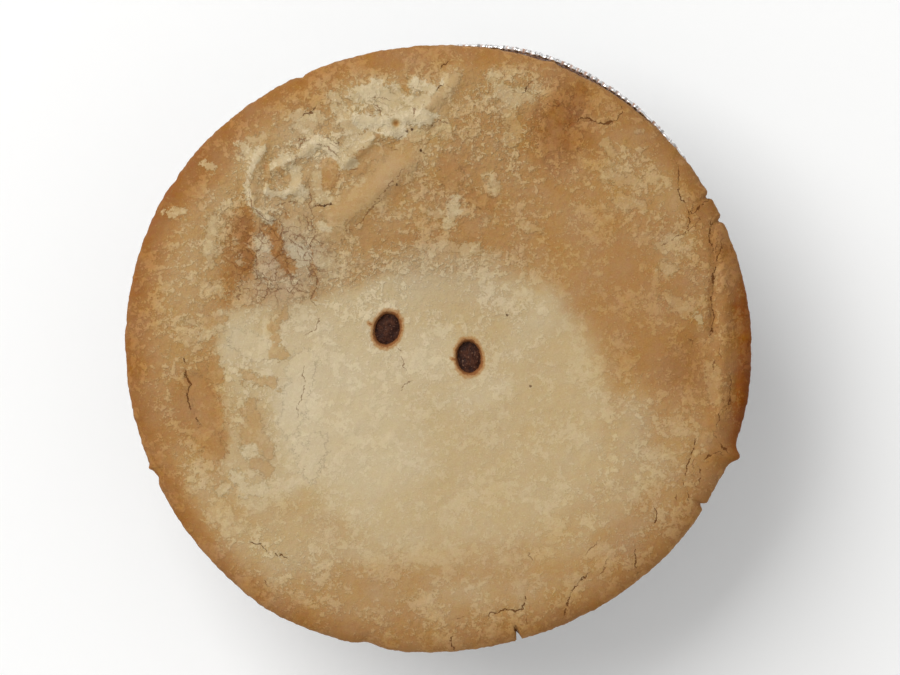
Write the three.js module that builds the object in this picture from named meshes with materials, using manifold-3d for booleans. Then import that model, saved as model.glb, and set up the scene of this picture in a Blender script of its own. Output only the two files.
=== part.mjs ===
// A steak and kidney pie in its own foil tin. Millimetres, +Z up.
// The origin is the middle of the pie's outline, on the plane that the tin stands on.
// Seen from above, +X points right and +Y points away, and compass angles run from +X towards +Y.

import * as THREE from "three";
import { mergeVertices } from "three/addons/utils/BufferGeometryUtils.js";
import Module from "manifold-3d";

const wasm = await Module();
wasm.setup();

// Driving dimensions

const GAP = 0.35; // free space kept between two pieces that touch

const TIN_HEIGHT = 30;
const TIN_RIM_RADIUS = 54.4; // to the outside of the rolled bead
const TIN_FOOT_RADIUS = 41;
const TIN_OFF_CENTRE = 1.5; // how far the lid slid off the tin
const TIN_OFF_ANGLE = 62; // the side where the rim shows past the lid
const FOIL = 0.3;
const BEAD_RADIUS = 1.1;
const FLANGE_WIDTH = 1.6;
const FLANGE_DROP = 1; // from the top of the bead down to the flange
const HEEL = 1.2; // rounding between foot and wall
const PANEL_RADIUS = 32; // stiffening panel pressed up into the foot
const PANEL_RISE = 1;
const PANEL_SLOPE = 1.5;
const PLEATS = 50;
const PLEAT_DEPTH = 1;
const PLEAT_UNEVEN = 0.4; // share by which one pleat is deeper than another
const PLEAT_FULL_FROM = 7; // heights between which a pleat has its full depth
const PLEAT_FULL_TO = 27;
const RIM_BULGE = { at: 56, reach: 30, out: 2.2, from: 18 }; // the rim is bent out on one side

const LID_RADIUS = 57.15; // mean radius of the pastry lid
const LID_EDGE_Z = 32.2; // height of its widest line
const LID_TOP_Z = 36.2;
const LID_ROLL = 9; // the higher, the flatter the top and the tighter the rounded edge
const LIP_INSET = 0.6; // the edge tucks in by this much below its widest line
const LIP_Z = 31.1;
const UNDERSIDE_INSET = 2;
const RELIEF_FADE = 8; // the higher, the closer to the edge the relief reaches
const LATTICE_RINGS = 32;

const VENT_DEPTH = 5;
const GRAVY_BELOW_LID = 1;
const GRAVY_CROWN = 0.25;
const VENT_SIDES = 24;

const CRACK_WIDTH = 0.9;
const CRACK_DEPTH = 0.8;
const CUTTER_ABOVE = 2; // how far a cutting tool stands above the lid

// The lid's outline: long waves round the edge, then places where it is chipped or drawn out.
const EDGE_WAVES = [
  { lobes: 1, swing: 0.32, peak: 165 },
  { lobes: 2, swing: 0.89, peak: 4 },
  { lobes: 3, swing: 0.17, peak: 12 },
  { lobes: 4, swing: 0.27, peak: 61 },
];
const EDGE_CHIPS = [
  { at: 340, reach: 1.6, out: 1.4 }, // a flake that sticks out
  { at: 333, reach: 5, out: -0.4 },
  { at: 256.5, reach: 2.6, out: -0.8 }, // the torn stretch
  { at: 236, reach: 7, out: 0.5 },
];
const EDGE_NOTCHES = [
  { at: 24.6, width: 1, depth: 1.2 },
  { at: 29.5, width: 0.8, depth: 1 },
  { at: 285.3, width: 0.9, depth: 2.1 },
  { at: 329.2, width: 1.1, depth: 1.3 },
];

// Broad swells and hollows of the lid, each an oval with its long axis at an angle.
const SWELLS = [
  { at: [0, -16], wide: 30, long: 34, turn: 0, rise: -0.8 }, // the pale middle has sunk
  { at: [37, 11], wide: 12, long: 24, turn: 125, rise: 0.7 }, // the browned shoulder
  { at: [-17, 31], wide: 9, long: 20, turn: 35, rise: 0.8 }, // the blistered fold
  { at: [-37, 18], wide: 4, long: 8, turn: 80, rise: -0.6 }, // the scorched hollow
  { at: [-46, -9], wide: 4, long: 8, turn: 95, rise: -0.5 },
  { at: [48, 1], wide: 3, long: 5, turn: 60, rise: -0.6 },
  { at: [22, 42], wide: 5, long: 7, turn: 70, rise: -0.4 },
  { at: [45, -7], wide: 3, long: 7, turn: 160, rise: -0.4 },
];
// Raised folds of pastry, along a line.
const FOLDS = [
  { along: [[-32, 37], [-34, 33], [-35, 29], [-34, 26], [-31, 24]], width: 1.3, rise: 0.7 },
  { along: [[-31, 33], [-27, 35], [-24, 38], [-20, 38], [-17, 35]], width: 1.3, rise: 0.7 },
  { along: [[-17, 35], [-13, 39], [-9, 40]], width: 1.3, rise: 0.6 },
  { along: [[-16, 43], [-11, 42], [-8, 43], [-2, 42]], width: 1.4, rise: 0.7 },
  { along: [[-3, 44], [0, 46], [4, 50]], width: 1.6, rise: 0.6 },
  { along: [[-18, 24], [-12, 29], [-6, 34]], width: 2.4, rise: 0.6 },
  { along: [[53, 18], [54, 9], [55, 0], [54, -9]], width: 1.6, rise: 0.5 },
];
const RIPPLE = 0.12; // low unevenness all over the lid
const RIPPLE_LENGTH = 28;

// Open cracks in the lid, each along a line.
const CRACKS = [
  [[25, 41.5], [26.4, 43], [29, 41.8], [32, 41.6], [33.6, 43.8], [34, 45]],
  [[44, 34], [44.2, 28.4], [45.8, 26.6], [46.2, 23.6], [45.5, 20.7]],
  [[50, 23.6], [50.3, 19], [51, 14.4], [50.3, 9], [50.5, 6], [50.2, 3.2], [49.4, 1.6]],
  [[53.5, -5.4], [53.8, -8.4], [52.9, -11.4]],
  [[47.4, -16.2], [47, -18.2], [46.6, -20.2], [45.6, -22.6], [45.4, -24]],
  [[44.8, -24.6], [45.6, -26.2], [45.8, -27.8]],
  [[27.2, -42], [25.2, -43.6], [23.9, -46.2], [23.1, -49]],
  [[7.8, -51.6], [8.8, -49], [11.6, -47.8], [15, -48.6], [15.6, -46.2], [16.2, -44.6]],
  [[-46.6, -3.6], [-45.8, -6.4], [-46.2, -9.8], [-45, -12.4]],
  [[-25.5, 31.8], [-24.2, 28.8], [-24.9, 26], [-23.2, 22], [-23, 20.8], [-24, 18.8]],
  [[-24, 17], [-23.6, 15.2], [-23, 13.6], [-23.4, 10.6], [-23.6, 8.8], [-22, 7.4]],
  [[-29, 22.6], [-28.2, 20.6], [-25.4, 18.4], [-24.4, 17.8]],
  [[-34, 18.6], [-34, 16], [-33.8, 14.2], [-35.2, 12.2]],
  [[-7.8, 32], [-12.6, 26.8], [-14.4, 24.2], [-16.7, 22], [-19.6, 21.8]],
  [[-3.3, 36.4], [-2.8, 37.6], [-1.6, 39], [-0.6, 41.4], [1.2, 41.8]],
  [[-35.2, -35.6], [-33.2, -36.2], [-31, -38], [-28.6, -38.8]],
];

// The two steam vents, each an oval with its long axis at an angle.
const VENTS = [
  { name: "left", at: [-9.7, 3.6], wide: 4.6, long: 5.9, turn: 75 },
  { name: "right", at: [5.4, -1.6], wide: 4.4, long: 6, turn: 95 },
];

const PASTRY = new THREE.MeshStandardMaterial({ color: 0xb8945f, roughness: 0.85, metalness: 0 });
const FOIL_METAL = new THREE.MeshStandardMaterial({ color: 0xc8c9cb, roughness: 0.3, metalness: 1 });
const GRAVY = new THREE.MeshStandardMaterial({ color: 0x3b2318, roughness: 0.25, metalness: 0 });

// Small helpers

const radians = THREE.MathUtils.degToRad;

/** Degrees from one compass angle to another, -180 to 180. */
function turnBetween(from, to) {
  return THREE.MathUtils.euclideanModulo(to - from + 180, 360) - 180;
}

/** A bell-shaped bump: 1 at the middle, nearly 0 past twice the reach. */
function bell(distance, reach) {
  return Math.exp(-((distance / reach) ** 2));
}

/** A repeatable number from 0 to 1 for a whole number. */
function scatter(index) {
  return THREE.MathUtils.euclideanModulo(Math.sin(index * 12.9898) * 43758.5453, 1);
}

/** Distance from a point to a line through several points. */
function distanceToPath(x, y, path) {
  const point = new THREE.Vector3(x, y, 0);
  const nearest = new THREE.Vector3();
  let least = Infinity;
  for (let i = 1; i < path.length; i++) {
    const from = new THREE.Vector3(...path[i - 1], 0);
    const to = new THREE.Vector3(...path[i], 0);
    new THREE.Line3(from, to).closestPointToPoint(point, true, nearest);
    least = Math.min(least, nearest.distanceTo(point));
  }
  return least;
}

/** A closed geometry as a solid that can be joined and cut. */
function solidOf(geometry) {
  const bare = geometry.clone();
  for (const name of Object.keys(bare.attributes)) if (name !== "position") bare.deleteAttribute(name);
  const merged = mergeVertices(bare, 1e-3);
  const vertProperties = merged.attributes.position.array;
  const triVerts = new Uint32Array(merged.index.array);
  return new wasm.Manifold(new wasm.Mesh({ numProp: 3, vertProperties, triVerts }));
}

/** The faces of a solid as a geometry. */
function geometryOf(solid) {
  const { vertProperties, triVerts } = solid.getMesh();
  const geometry = new THREE.BufferGeometry();
  geometry.setAttribute("position", new THREE.BufferAttribute(vertProperties, 3));
  geometry.setIndex(new THREE.BufferAttribute(triVerts, 1));
  geometry.computeVertexNormals();
  return geometry;
}

/** Moves every vertex of a geometry by a function that changes the vector it is given. */
function reshape(geometry, move) {
  const position = geometry.attributes.position;
  const vertex = new THREE.Vector3();
  for (let i = 0; i < position.count; i++) {
    vertex.fromBufferAttribute(position, i);
    move(vertex);
    position.setXYZ(i, vertex.x, vertex.y, vertex.z);
  }
  return geometry;
}

/** A skin over rings of points, from the top point to the bottom one, each anticlockwise from above. */
function skinOver(rings) {
  const points = rings.flat();
  const faces = [];
  let start = 0;
  for (let r = 0; r + 1 < rings.length; r++) {
    const [upper, lower] = [rings[r].length, rings[r + 1].length];
    const above = (i) => start + (i % upper);
    const below = (j) => start + upper + (j % lower);
    let [i, j] = [0, 0];
    while ((upper > 1 && i < upper) || (lower > 1 && j < lower)) {
      const stepBelow = lower > 1 && (upper === 1 || (j + 1) * upper <= (i + 1) * lower);
      if (stepBelow && j < lower) {
        faces.push(above(i), below(j), below(j + 1));
        j++;
      } else {
        faces.push(above(i), below(j), above(i + 1));
        i++;
      }
    }
    start += upper;
  }
  const geometry = new THREE.BufferGeometry().setFromPoints(points);
  geometry.setIndex(faces);
  return geometry;
}

/** A ring of points, from a function that gives the point at a compass angle. */
function ring(count, pointAt) {
  return Array.from({ length: count }, (_, i) => pointAt((360 * i) / count));
}

/** A point at a distance and a compass angle from a centre. */
function around([x, y], radius, angle, z) {
  return new THREE.Vector3(x + radius * Math.cos(radians(angle)), y + radius * Math.sin(radians(angle)), z);
}

// The lid's form

const LID_CENTRE = [0, 0];
const TIN_CENTRE = [
  TIN_OFF_CENTRE * Math.cos(radians(TIN_OFF_ANGLE)),
  TIN_OFF_CENTRE * Math.sin(radians(TIN_OFF_ANGLE)),
];

/** Radius of the lid's edge at a compass angle. */
function lidEdge(angle) {
  let radius = LID_RADIUS;
  for (const { lobes, swing, peak } of EDGE_WAVES) {
    radius += swing * Math.cos(radians(lobes * (angle - peak)));
  }
  for (const { at, reach, out } of EDGE_CHIPS) {
    radius += out * bell(turnBetween(angle, at), reach);
  }
  return radius;
}

/** How far an oval hollow or swell counts at a point: 1 at its middle. */
function ovalShare(x, y, { at, wide, long, turn }) {
  const across = new THREE.Vector2(x - at[0], y - at[1]).rotateAround(new THREE.Vector2(), -radians(turn));
  return bell(Math.hypot(across.x / long, across.y / wide), 1);
}

/** Height that swells, folds and ripples add to the lid at a point. */
function lidRelief(x, y) {
  const wave = (2 * Math.PI) / RIPPLE_LENGTH;
  let height = RIPPLE * Math.sin(wave * (x + 0.5 * y)) * Math.cos(wave * (y - 0.7 * x));
  for (const swell of SWELLS) height += swell.rise * ovalShare(x, y, swell);
  for (const { along, width, rise } of FOLDS) height += rise * bell(distanceToPath(x, y, along), width);
  return height;
}

/** Height of the lid's top at a point. */
function lidHeight(x, y) {
  const angle = THREE.MathUtils.radToDeg(Math.atan2(y, x));
  const share = Math.min(Math.hypot(x, y) / lidEdge(angle), 1);
  const crown = (LID_TOP_Z - LID_EDGE_Z) * Math.sqrt(1 - share ** LID_ROLL);
  return LID_EDGE_Z + crown + lidRelief(x, y) * (1 - share ** RELIEF_FADE);
}

// The foil tin

const BEAD_CENTRE_RADIUS = TIN_RIM_RADIUS - BEAD_RADIUS;
const BEAD_CENTRE_Z = TIN_HEIGHT - BEAD_RADIUS;
const FLANGE_Z = TIN_HEIGHT - FLANGE_DROP;
const WALL_TOP_RADIUS = TIN_RIM_RADIUS - 2 * BEAD_RADIUS - FLANGE_WIDTH;

/** Inside radius of the tin's wall at a height, before pleating. */
function wallRadius(z) {
  return THREE.MathUtils.mapLinear(z, HEEL, FLANGE_Z, TIN_FOOT_RADIUS, WALL_TOP_RADIUS);
}

/** The tin's section, from the middle of its foot up the outside, over the rim and down to its floor. */
function tinSection() {
  const wallHeights = [0.1, 0.5, 0.93].map((share) => share * FLANGE_Z);
  const beadTurns = [-150, -90, -30, 30, 90, 150];
  const foot = [
    [0, PANEL_RISE],
    [PANEL_RADIUS + FOIL - PANEL_SLOPE, PANEL_RISE],
    [PANEL_RADIUS + FOIL, 0],
    [TIN_FOOT_RADIUS - HEEL, 0],
  ];
  const outside = wallHeights.map((z) => [wallRadius(z) + FOIL, z]);
  const flangeUnder = [[WALL_TOP_RADIUS + FOIL, FLANGE_Z - FOIL]];
  const bead = beadTurns.map((turn) => [
    BEAD_CENTRE_RADIUS + BEAD_RADIUS * Math.cos(radians(turn)),
    BEAD_CENTRE_Z + BEAD_RADIUS * Math.sin(radians(turn)),
  ]);
  const flangeTop = [[WALL_TOP_RADIUS + FLANGE_WIDTH, FLANGE_Z], [WALL_TOP_RADIUS, FLANGE_Z]];
  const inside = wallHeights.toReversed().map((z) => [wallRadius(z), z]);
  const floor = [
    [TIN_FOOT_RADIUS - HEEL, FOIL],
    [PANEL_RADIUS, FOIL],
    [PANEL_RADIUS - PANEL_SLOPE, PANEL_RISE + FOIL],
    [0, PANEL_RISE + FOIL],
  ];
  const section = [...foot, ...outside, ...flangeUnder, ...bead, ...flangeTop, ...inside, ...floor];
  return section.map(([radius, z]) => new THREE.Vector2(radius, z));
}

/** How far a pleat pushes the wall in or out at a compass angle and height. */
function pleatPush(angle, z) {
  const fold = Math.round((angle / 360) * 2 * PLEATS);
  const side = fold % 2 === 0 ? 1 : -1;
  const depth = PLEAT_DEPTH * (1 + PLEAT_UNEVEN * (2 * scatter(Math.floor(fold / 2) % PLEATS) - 1));
  const fadeIn = THREE.MathUtils.smoothstep(z, HEEL, PLEAT_FULL_FROM);
  const fadeOut = 1 - THREE.MathUtils.smoothstep(z, PLEAT_FULL_TO, FLANGE_Z);
  return 0.5 * side * depth * fadeIn * fadeOut;
}

/** How far the rim is bent outwards at a compass angle and height: evenly over the reach, then not at all. */
function rimPush(angle, z) {
  const { at, reach, out, from } = RIM_BULGE;
  const bend = bell((turnBetween(angle, at) / reach) ** 2, 1);
  return out * bend * THREE.MathUtils.smoothstep(z, from, FLANGE_Z);
}

/** Splits the faces of the tin's inside the other way, so that both sides of the foil fold alike. */
function foldAlike(geometry, section) {
  const firstInside = section.findLastIndex(({ y }) => y === FLANGE_Z);
  const index = geometry.index;
  for (let i = 0; i < index.count; i += 6) {
    const [a, b, d, c] = [0, 1, 2, 3].map((k) => index.getX(i + k));
    if (a % section.length < firstInside) continue;
    [a, b, c, a, c, d].forEach((corner, k) => index.setX(i + k, corner));
  }
}

function foilTin() {
  // The lathe turns about Y, so its section is stood up along Z afterwards.
  const section = tinSection();
  const geometry = new THREE.LatheGeometry(section, 2 * PLEATS).rotateX(Math.PI / 2);
  foldAlike(geometry, section);
  reshape(geometry, (vertex) => {
    const radius = Math.hypot(vertex.x, vertex.y);
    if (radius < 1) return;
    const angle = THREE.MathUtils.radToDeg(Math.atan2(vertex.y, vertex.x));
    const push = pleatPush(THREE.MathUtils.euclideanModulo(angle, 360), vertex.z) + rimPush(angle, vertex.z);
    vertex.x *= (radius + push) / radius;
    vertex.y *= (radius + push) / radius;
  });
  const mesh = new THREE.Mesh(geometry, FOIL_METAL);
  mesh.name = "foil_tin";
  mesh.position.set(...TIN_CENTRE, 0);
  return mesh;
}

// The pie

const UNDERSIDE_Z = TIN_HEIGHT + GAP;
const SEAT_Z = FLANGE_Z + GAP; // the pastry rests on the tin's flange
const SEAT_RADIUS = TIN_RIM_RADIUS - 2 * BEAD_RADIUS - GAP;
const BASE_Z = PANEL_RISE + FOIL + GAP;
const PLEAT_ROOM = 0.5 * PLEAT_DEPTH * (1 + PLEAT_UNEVEN) + GAP;
const BODY_SIDES = 96;

/** The pie without its vents, cracks and notches: lid, tucked edge, and the body that fills the tin. */
function pieBlank() {
  const lidCount = 6 * LATTICE_RINGS;
  const lidPoint = (share) => (angle) => {
    const point = around(LID_CENTRE, share * lidEdge(angle), angle, 0);
    point.z = lidHeight(point.x, point.y);
    return point;
  };
  const edgePoint = (inset, z) => (angle) => around(LID_CENTRE, lidEdge(angle) - inset, angle, z);
  const bodyPoint = (radius, z) => (angle) => around(TIN_CENTRE, radius, angle, z);
  const rings = [[new THREE.Vector3(...LID_CENTRE, lidHeight(...LID_CENTRE))]];
  for (let k = 1; k <= LATTICE_RINGS; k++) rings.push(ring(6 * k, lidPoint(k / LATTICE_RINGS)));
  rings.push(
    ring(lidCount, edgePoint(LIP_INSET, LIP_Z)),
    ring(lidCount, edgePoint(UNDERSIDE_INSET, UNDERSIDE_Z)),
    ring(BODY_SIDES, bodyPoint(SEAT_RADIUS, UNDERSIDE_Z)),
    ring(BODY_SIDES, bodyPoint(SEAT_RADIUS, SEAT_Z)),
    ring(BODY_SIDES, bodyPoint(WALL_TOP_RADIUS - PLEAT_ROOM, SEAT_Z)),
    ring(BODY_SIDES, bodyPoint(wallRadius(BASE_Z) - PLEAT_ROOM, BASE_Z)),
    [new THREE.Vector3(...TIN_CENTRE, BASE_Z)],
  );
  return solidOf(skinOver(rings));
}

/** A tool that opens a crack: widest in the middle, pointed at both ends, its floor following the lid. */
function crackCutter(path) {
  const points = path.map(([x, y]) => new THREE.Vector2(x, y));
  const sides = [1, -1].map((side) =>
    points.map((point, i) => {
      const ahead = points[Math.min(i + 1, points.length - 1)];
      const behind = points[Math.max(i - 1, 0)];
      const across = ahead.clone().sub(behind).normalize().rotateAround(new THREE.Vector2(), Math.PI / 2);
      const taper = Math.sin((Math.PI * i) / (points.length - 1));
      return point.clone().addScaledVector(across, 0.5 * side * CRACK_WIDTH * taper);
    }),
  );
  const outline = [...sides[0], ...sides[1].slice(1, -1).reverse()];
  const cutter = new THREE.ExtrudeGeometry(new THREE.Shape(outline), { depth: 1, bevelEnabled: false });
  reshape(cutter, (vertex) => {
    vertex.z = lidHeight(vertex.x, vertex.y) + (vertex.z < 0.5 ? -CRACK_DEPTH : CUTTER_ABOVE);
  });
  return solidOf(cutter);
}

/** A tool that cuts a notch right through the lid's edge. */
function notchCutter({ at, width, depth }) {
  const edge = lidEdge(at);
  const beyond = edge + CUTTER_ABOVE;
  const mouth = width * (1 + CUTTER_ABOVE / depth);
  const outline = [
    new THREE.Vector2(edge - depth, 0),
    new THREE.Vector2(beyond, -mouth / 2),
    new THREE.Vector2(beyond, mouth / 2),
  ];
  const bottom = UNDERSIDE_Z - GAP / 2;
  const height = LID_TOP_Z + CUTTER_ABOVE - bottom;
  const cutter = new THREE.ExtrudeGeometry(new THREE.Shape(outline), { depth: height, bevelEnabled: false });
  return solidOf(cutter.translate(0, 0, bottom).rotateZ(radians(at)));
}

/** Height of the lid at a vent's middle, which its depth is measured from. */
function ventTop({ at }) {
  return lidHeight(...at);
}

/** Turns and moves an upright piece of unit radius into a vent's place and oval. */
function placeInVent(geometry, { at, wide, long, turn }, shrink, z) {
  geometry.scale(long / 2 - shrink, wide / 2 - shrink, 1);
  return geometry.rotateZ(radians(turn)).translate(...at, z);
}

function ventCutter(vent) {
  const height = VENT_DEPTH + CUTTER_ABOVE;
  const bore = new THREE.CylinderGeometry(1, 1, height, VENT_SIDES).rotateX(Math.PI / 2);
  return solidOf(placeInVent(bore, vent, 0, ventTop(vent) - VENT_DEPTH + height / 2));
}

function pie() {
  let solid = pieBlank();
  for (const vent of VENTS) solid = solid.subtract(ventCutter(vent));
  for (const notch of EDGE_NOTCHES) solid = solid.subtract(notchCutter(notch));
  for (const path of CRACKS) solid = solid.subtract(crackCutter(path));
  const mesh = new THREE.Mesh(geometryOf(solid), PASTRY);
  mesh.name = "pastry_pie";
  return mesh;
}

/** The gravy that has risen in a vent, with a slightly crowned top. */
function ventGravy(vent) {
  const depth = VENT_DEPTH - GAP - GRAVY_BELOW_LID;
  const section = [
    new THREE.Vector2(0, 0),
    new THREE.Vector2(1, 0),
    new THREE.Vector2(1, depth - GRAVY_CROWN),
    new THREE.Vector2(0.6, depth - GRAVY_CROWN / 3),
    new THREE.Vector2(0, depth),
  ];
  const plug = new THREE.LatheGeometry(section, VENT_SIDES).rotateX(Math.PI / 2);
  const mesh = new THREE.Mesh(placeInVent(plug, vent, GAP, ventTop(vent) - VENT_DEPTH + GAP), GRAVY);
  mesh.name = `gravy_${vent.name}`;
  return mesh;
}

const pieInTin = new THREE.Group();
pieInTin.add(foilTin(), pie(), ...VENTS.map(ventGravy));

export default pieInTin;
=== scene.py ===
import math

import bmesh
import bpy
import numpy as np
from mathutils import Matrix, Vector, noise


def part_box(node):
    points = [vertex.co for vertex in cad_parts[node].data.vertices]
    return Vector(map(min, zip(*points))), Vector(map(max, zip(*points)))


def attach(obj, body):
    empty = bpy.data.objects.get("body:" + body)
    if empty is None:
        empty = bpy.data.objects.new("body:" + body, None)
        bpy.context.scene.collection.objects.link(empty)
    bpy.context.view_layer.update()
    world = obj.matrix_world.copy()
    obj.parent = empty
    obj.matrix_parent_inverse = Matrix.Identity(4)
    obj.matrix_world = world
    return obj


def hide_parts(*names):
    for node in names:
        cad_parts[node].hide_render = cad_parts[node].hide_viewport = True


# A steak and kidney pie in its foil tin, lying as the photo shows it from above. Metres, +Z up.
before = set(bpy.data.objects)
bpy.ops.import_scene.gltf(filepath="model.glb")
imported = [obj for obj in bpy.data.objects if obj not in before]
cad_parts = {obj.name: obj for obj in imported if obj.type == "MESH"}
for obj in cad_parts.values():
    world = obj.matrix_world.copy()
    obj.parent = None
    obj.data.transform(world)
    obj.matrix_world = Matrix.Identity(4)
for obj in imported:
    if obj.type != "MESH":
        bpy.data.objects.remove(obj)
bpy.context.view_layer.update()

# Without a seed, the fields that push places sideways would differ from run to run.
FIELD_SEED = 1
noise.seed_set(FIELD_SEED)

MM = 0.001

# The photo, in which the places of cracks, folds and colours on the lid are read
PHOTO_WIDTH_PX = 900
PHOTO_HEIGHT_PX = 675
LID_MIDDLE_PX = (439.5, 348.5)
PX = 0.185 * MM  # size of a pixel at the height of the lid's edge

# Heights and radii of the solids
TIN_LOW, TIN_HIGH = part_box("foil_tin")
TIN_HEIGHT = TIN_HIGH.z - TIN_LOW.z
TIN_CENTRE = Vector((0.704, 1.324)) * MM
LID_RADIUS = 57.15 * MM
LID_EDGE_Z = TIN_HEIGHT + 2.2 * MM
LID_TOP_Z = TIN_HEIGHT + 6.2 * MM
LID_ROLL = 9  # the higher, the nearer to its edge the lid rolls down
RELIEF_FADE = 8  # the higher, the nearer to the edge the relief dies away
LID_RINGS = 170

# Unevenness in layers: size of the lumps, swing, octaves, seed
LID_LUMPS = [(9 * MM, 0.10 * MM, 3, 1), (2.2 * MM, 0.05 * MM, 3, 2)]
EDGE_CRUMBS = [(2.4 * MM, 0.13 * MM, 3, 5), (0.9 * MM, 0.10 * MM, 2, 6)]
RIM_BROWN_LUMPS = [(5 * MM, 0.9 * MM, 3, 9)]
GRAVY_SKIN = [(1.3 * MM, 0.12 * MM, 3, 3)]
# How far drawn outlines wander: size of the lumps, swing, seed
TONE_WANDER = (7 * MM, 1.3 * MM, 1)
TONE_FRAY = (2 * MM, 0.7 * MM, 2)
TORN_WANDER = (2.5 * MM, 0.5 * MM, 3)
FOLD_WANDER = (3 * MM, 0.7 * MM, 4)

# The lid's outline: waves round it, as their number, swing and the angle of a crest, then bites out of it and
# flakes that stick out of it, as angle, half width in degrees and how far out
EDGE_WAVES = [(1, 0.32 * MM, 165), (2, 0.89 * MM, 4), (3, 0.17 * MM, 12), (4, 0.27 * MM, 61)]
EDGE_CHIPS = [
    (340, 1.2, 1.5 * MM),
    (333, 5, -0.4 * MM),
    (329.2, 0.5, -1.1 * MM),
    (285.3, 0.32, -2.0 * MM),
    (256.5, 2.2, -0.8 * MM),
    (236, 7, 0.5 * MM),
    (204.4, 0.9, -0.5 * MM),
    (202.4, 0.45, 0.5 * MM),
    (147.6, 0.9, -0.3 * MM),
    (117, 0.8, -0.4 * MM),
    (68.2, 0.9, 0.5 * MM),
    (29.5, 0.45, -0.8 * MM),
    (24.6, 0.5, -0.9 * MM),
]
EDGE_CHIPS_FROM = 0.93  # share of the radius where chips and crumbs begin

# Broad swells and hollows: place, half length and half width in pixels, turn, rise
SWELLS = [
    ((440, 435), 184, 162, 0, -0.8 * MM),
    ((640, 289), 130, 65, 125, 0.7 * MM),
    ((348, 181), 108, 49, 35, 0.8 * MM),
    ((240, 251), 43, 22, 80, -0.6 * MM),
    ((191, 397), 43, 22, 95, -0.5 * MM),
    ((699, 343), 27, 16, 60, -0.6 * MM),
    ((558, 121), 38, 27, 70, -0.4 * MM),
    ((683, 386), 38, 16, 160, -0.4 * MM),
]

# Raised folds of pastry: half width in pixels, rise, points in pixels
FOLDS = [
    (6, 0.8 * MM, [(266, 147), (257, 158), (250, 174), (251, 191), (254, 205), (268, 218)]),
    (6, 0.8 * MM, [(273, 171), (289, 162), (303, 156), (312, 143), (325, 140), (334, 146), (347, 158)]),
    (6, 0.7 * MM, [(347, 164), (356, 157), (371, 139), (392, 135)]),
    (7, 0.8 * MM, [(351, 118), (367, 120), (381, 123), (397, 119), (412, 118), (427, 121)]),
    (6, 0.6 * MM, [(356, 93), (375, 88), (388, 90)]),
    (9, 0.7 * MM, [(425, 108), (438, 98), (451, 85), (461, 76)]),
    (13, 0.7 * MM, [(342, 219), (375, 192), (407, 165)]),
    (5, 0.6 * MM, [(268, 190), (280, 194), (294, 191), (303, 182)]),
    (7, 0.9 * MM, [(719, 236), (724, 262), (725, 300), (725, 345), (721, 392), (717, 425)]),
    (4, -0.5 * MM, [(712, 226), (715, 262), (711, 300), (712, 332)]),
    (3.5, -0.3 * MM, [(728, 262), (735, 300), (738, 340), (736, 388), (731, 420)]),
    (4, 0.6 * MM, [(719, 432), (727, 446), (734, 456)]),
    (4, 0.5 * MM, [(706, 440), (713, 452), (711, 464)]),
]

# Cracks that stand open: width in pixels and points in pixels
WIDE_CRACKS = [
    (1.8, [(185, 356), (187, 368), (186, 377), (192, 384), (189, 394), (190, 404), (193, 411), (198, 421)]),
    (2.2, [(575, 123), (581, 117), (588, 120), (599, 124), (608, 124), (616, 120), (621, 114), (623, 105)]),
    (1.8, [(523, 93), (531, 83)]),
    (1.8, [(677, 162), (678, 174), (679, 195), (684, 203), (689, 213), (689, 220), (685, 232)]),
    (1.8, [(709, 199), (700, 206), (694, 213)]),
    (2.0, [(712, 220), (710, 229), (709, 240), (713, 252)]),
    (1.8, [(723, 240), (719, 253), (714, 272), (711, 295), (712, 307), (713, 319), (711, 331), (706, 340)]),
    (2.0, [(729, 378), (730, 394), (729, 403), (726, 410)]),
    (1.8, [(719, 414), (717, 428)]),
    (1.6, [(695, 435), (694, 446), (690, 456), (687, 466), (685, 477)]),
    (1.6, [(682, 481), (687, 490), (688, 499)]),
    (1.8, [(587, 574), (575, 585), (569, 598), (563, 616)]),
    (1.8, [(527, 588), (523, 608), (516, 611), (504, 609), (490, 614), (482, 626)]),
    (1.8, [(454, 633), (451, 642), (454, 650)]),
    (1.8, [(250, 541), (260, 544), (270, 553)]),
    (1.6, [(275, 555), (282, 555), (287, 558)]),
    (1.6, [(302, 117), (307, 114), (312, 113), (315, 108)]),
    (1.8, [(514, 626), (518, 635), (519, 645)]),
    (1.5, [(312, 208), (320, 206), (326, 207), (333, 204)]),
    (1.6, [(439, 72), (444, 66), (448, 62)]),
    (1.4, [(436, 92), (440, 88), (443, 85)]),
    (1.6, [(655, 506), (656, 518), (650, 529)]),
    (1.6, [(635, 548), (635, 560), (637, 573)]),
    (1.6, [(715, 436), (720, 445), (728, 452)]),
    (1.6, [(697, 463), (701, 474), (699, 482)]),
    (1.6, [(716, 452), (708, 455), (704, 460)]),
]
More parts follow.
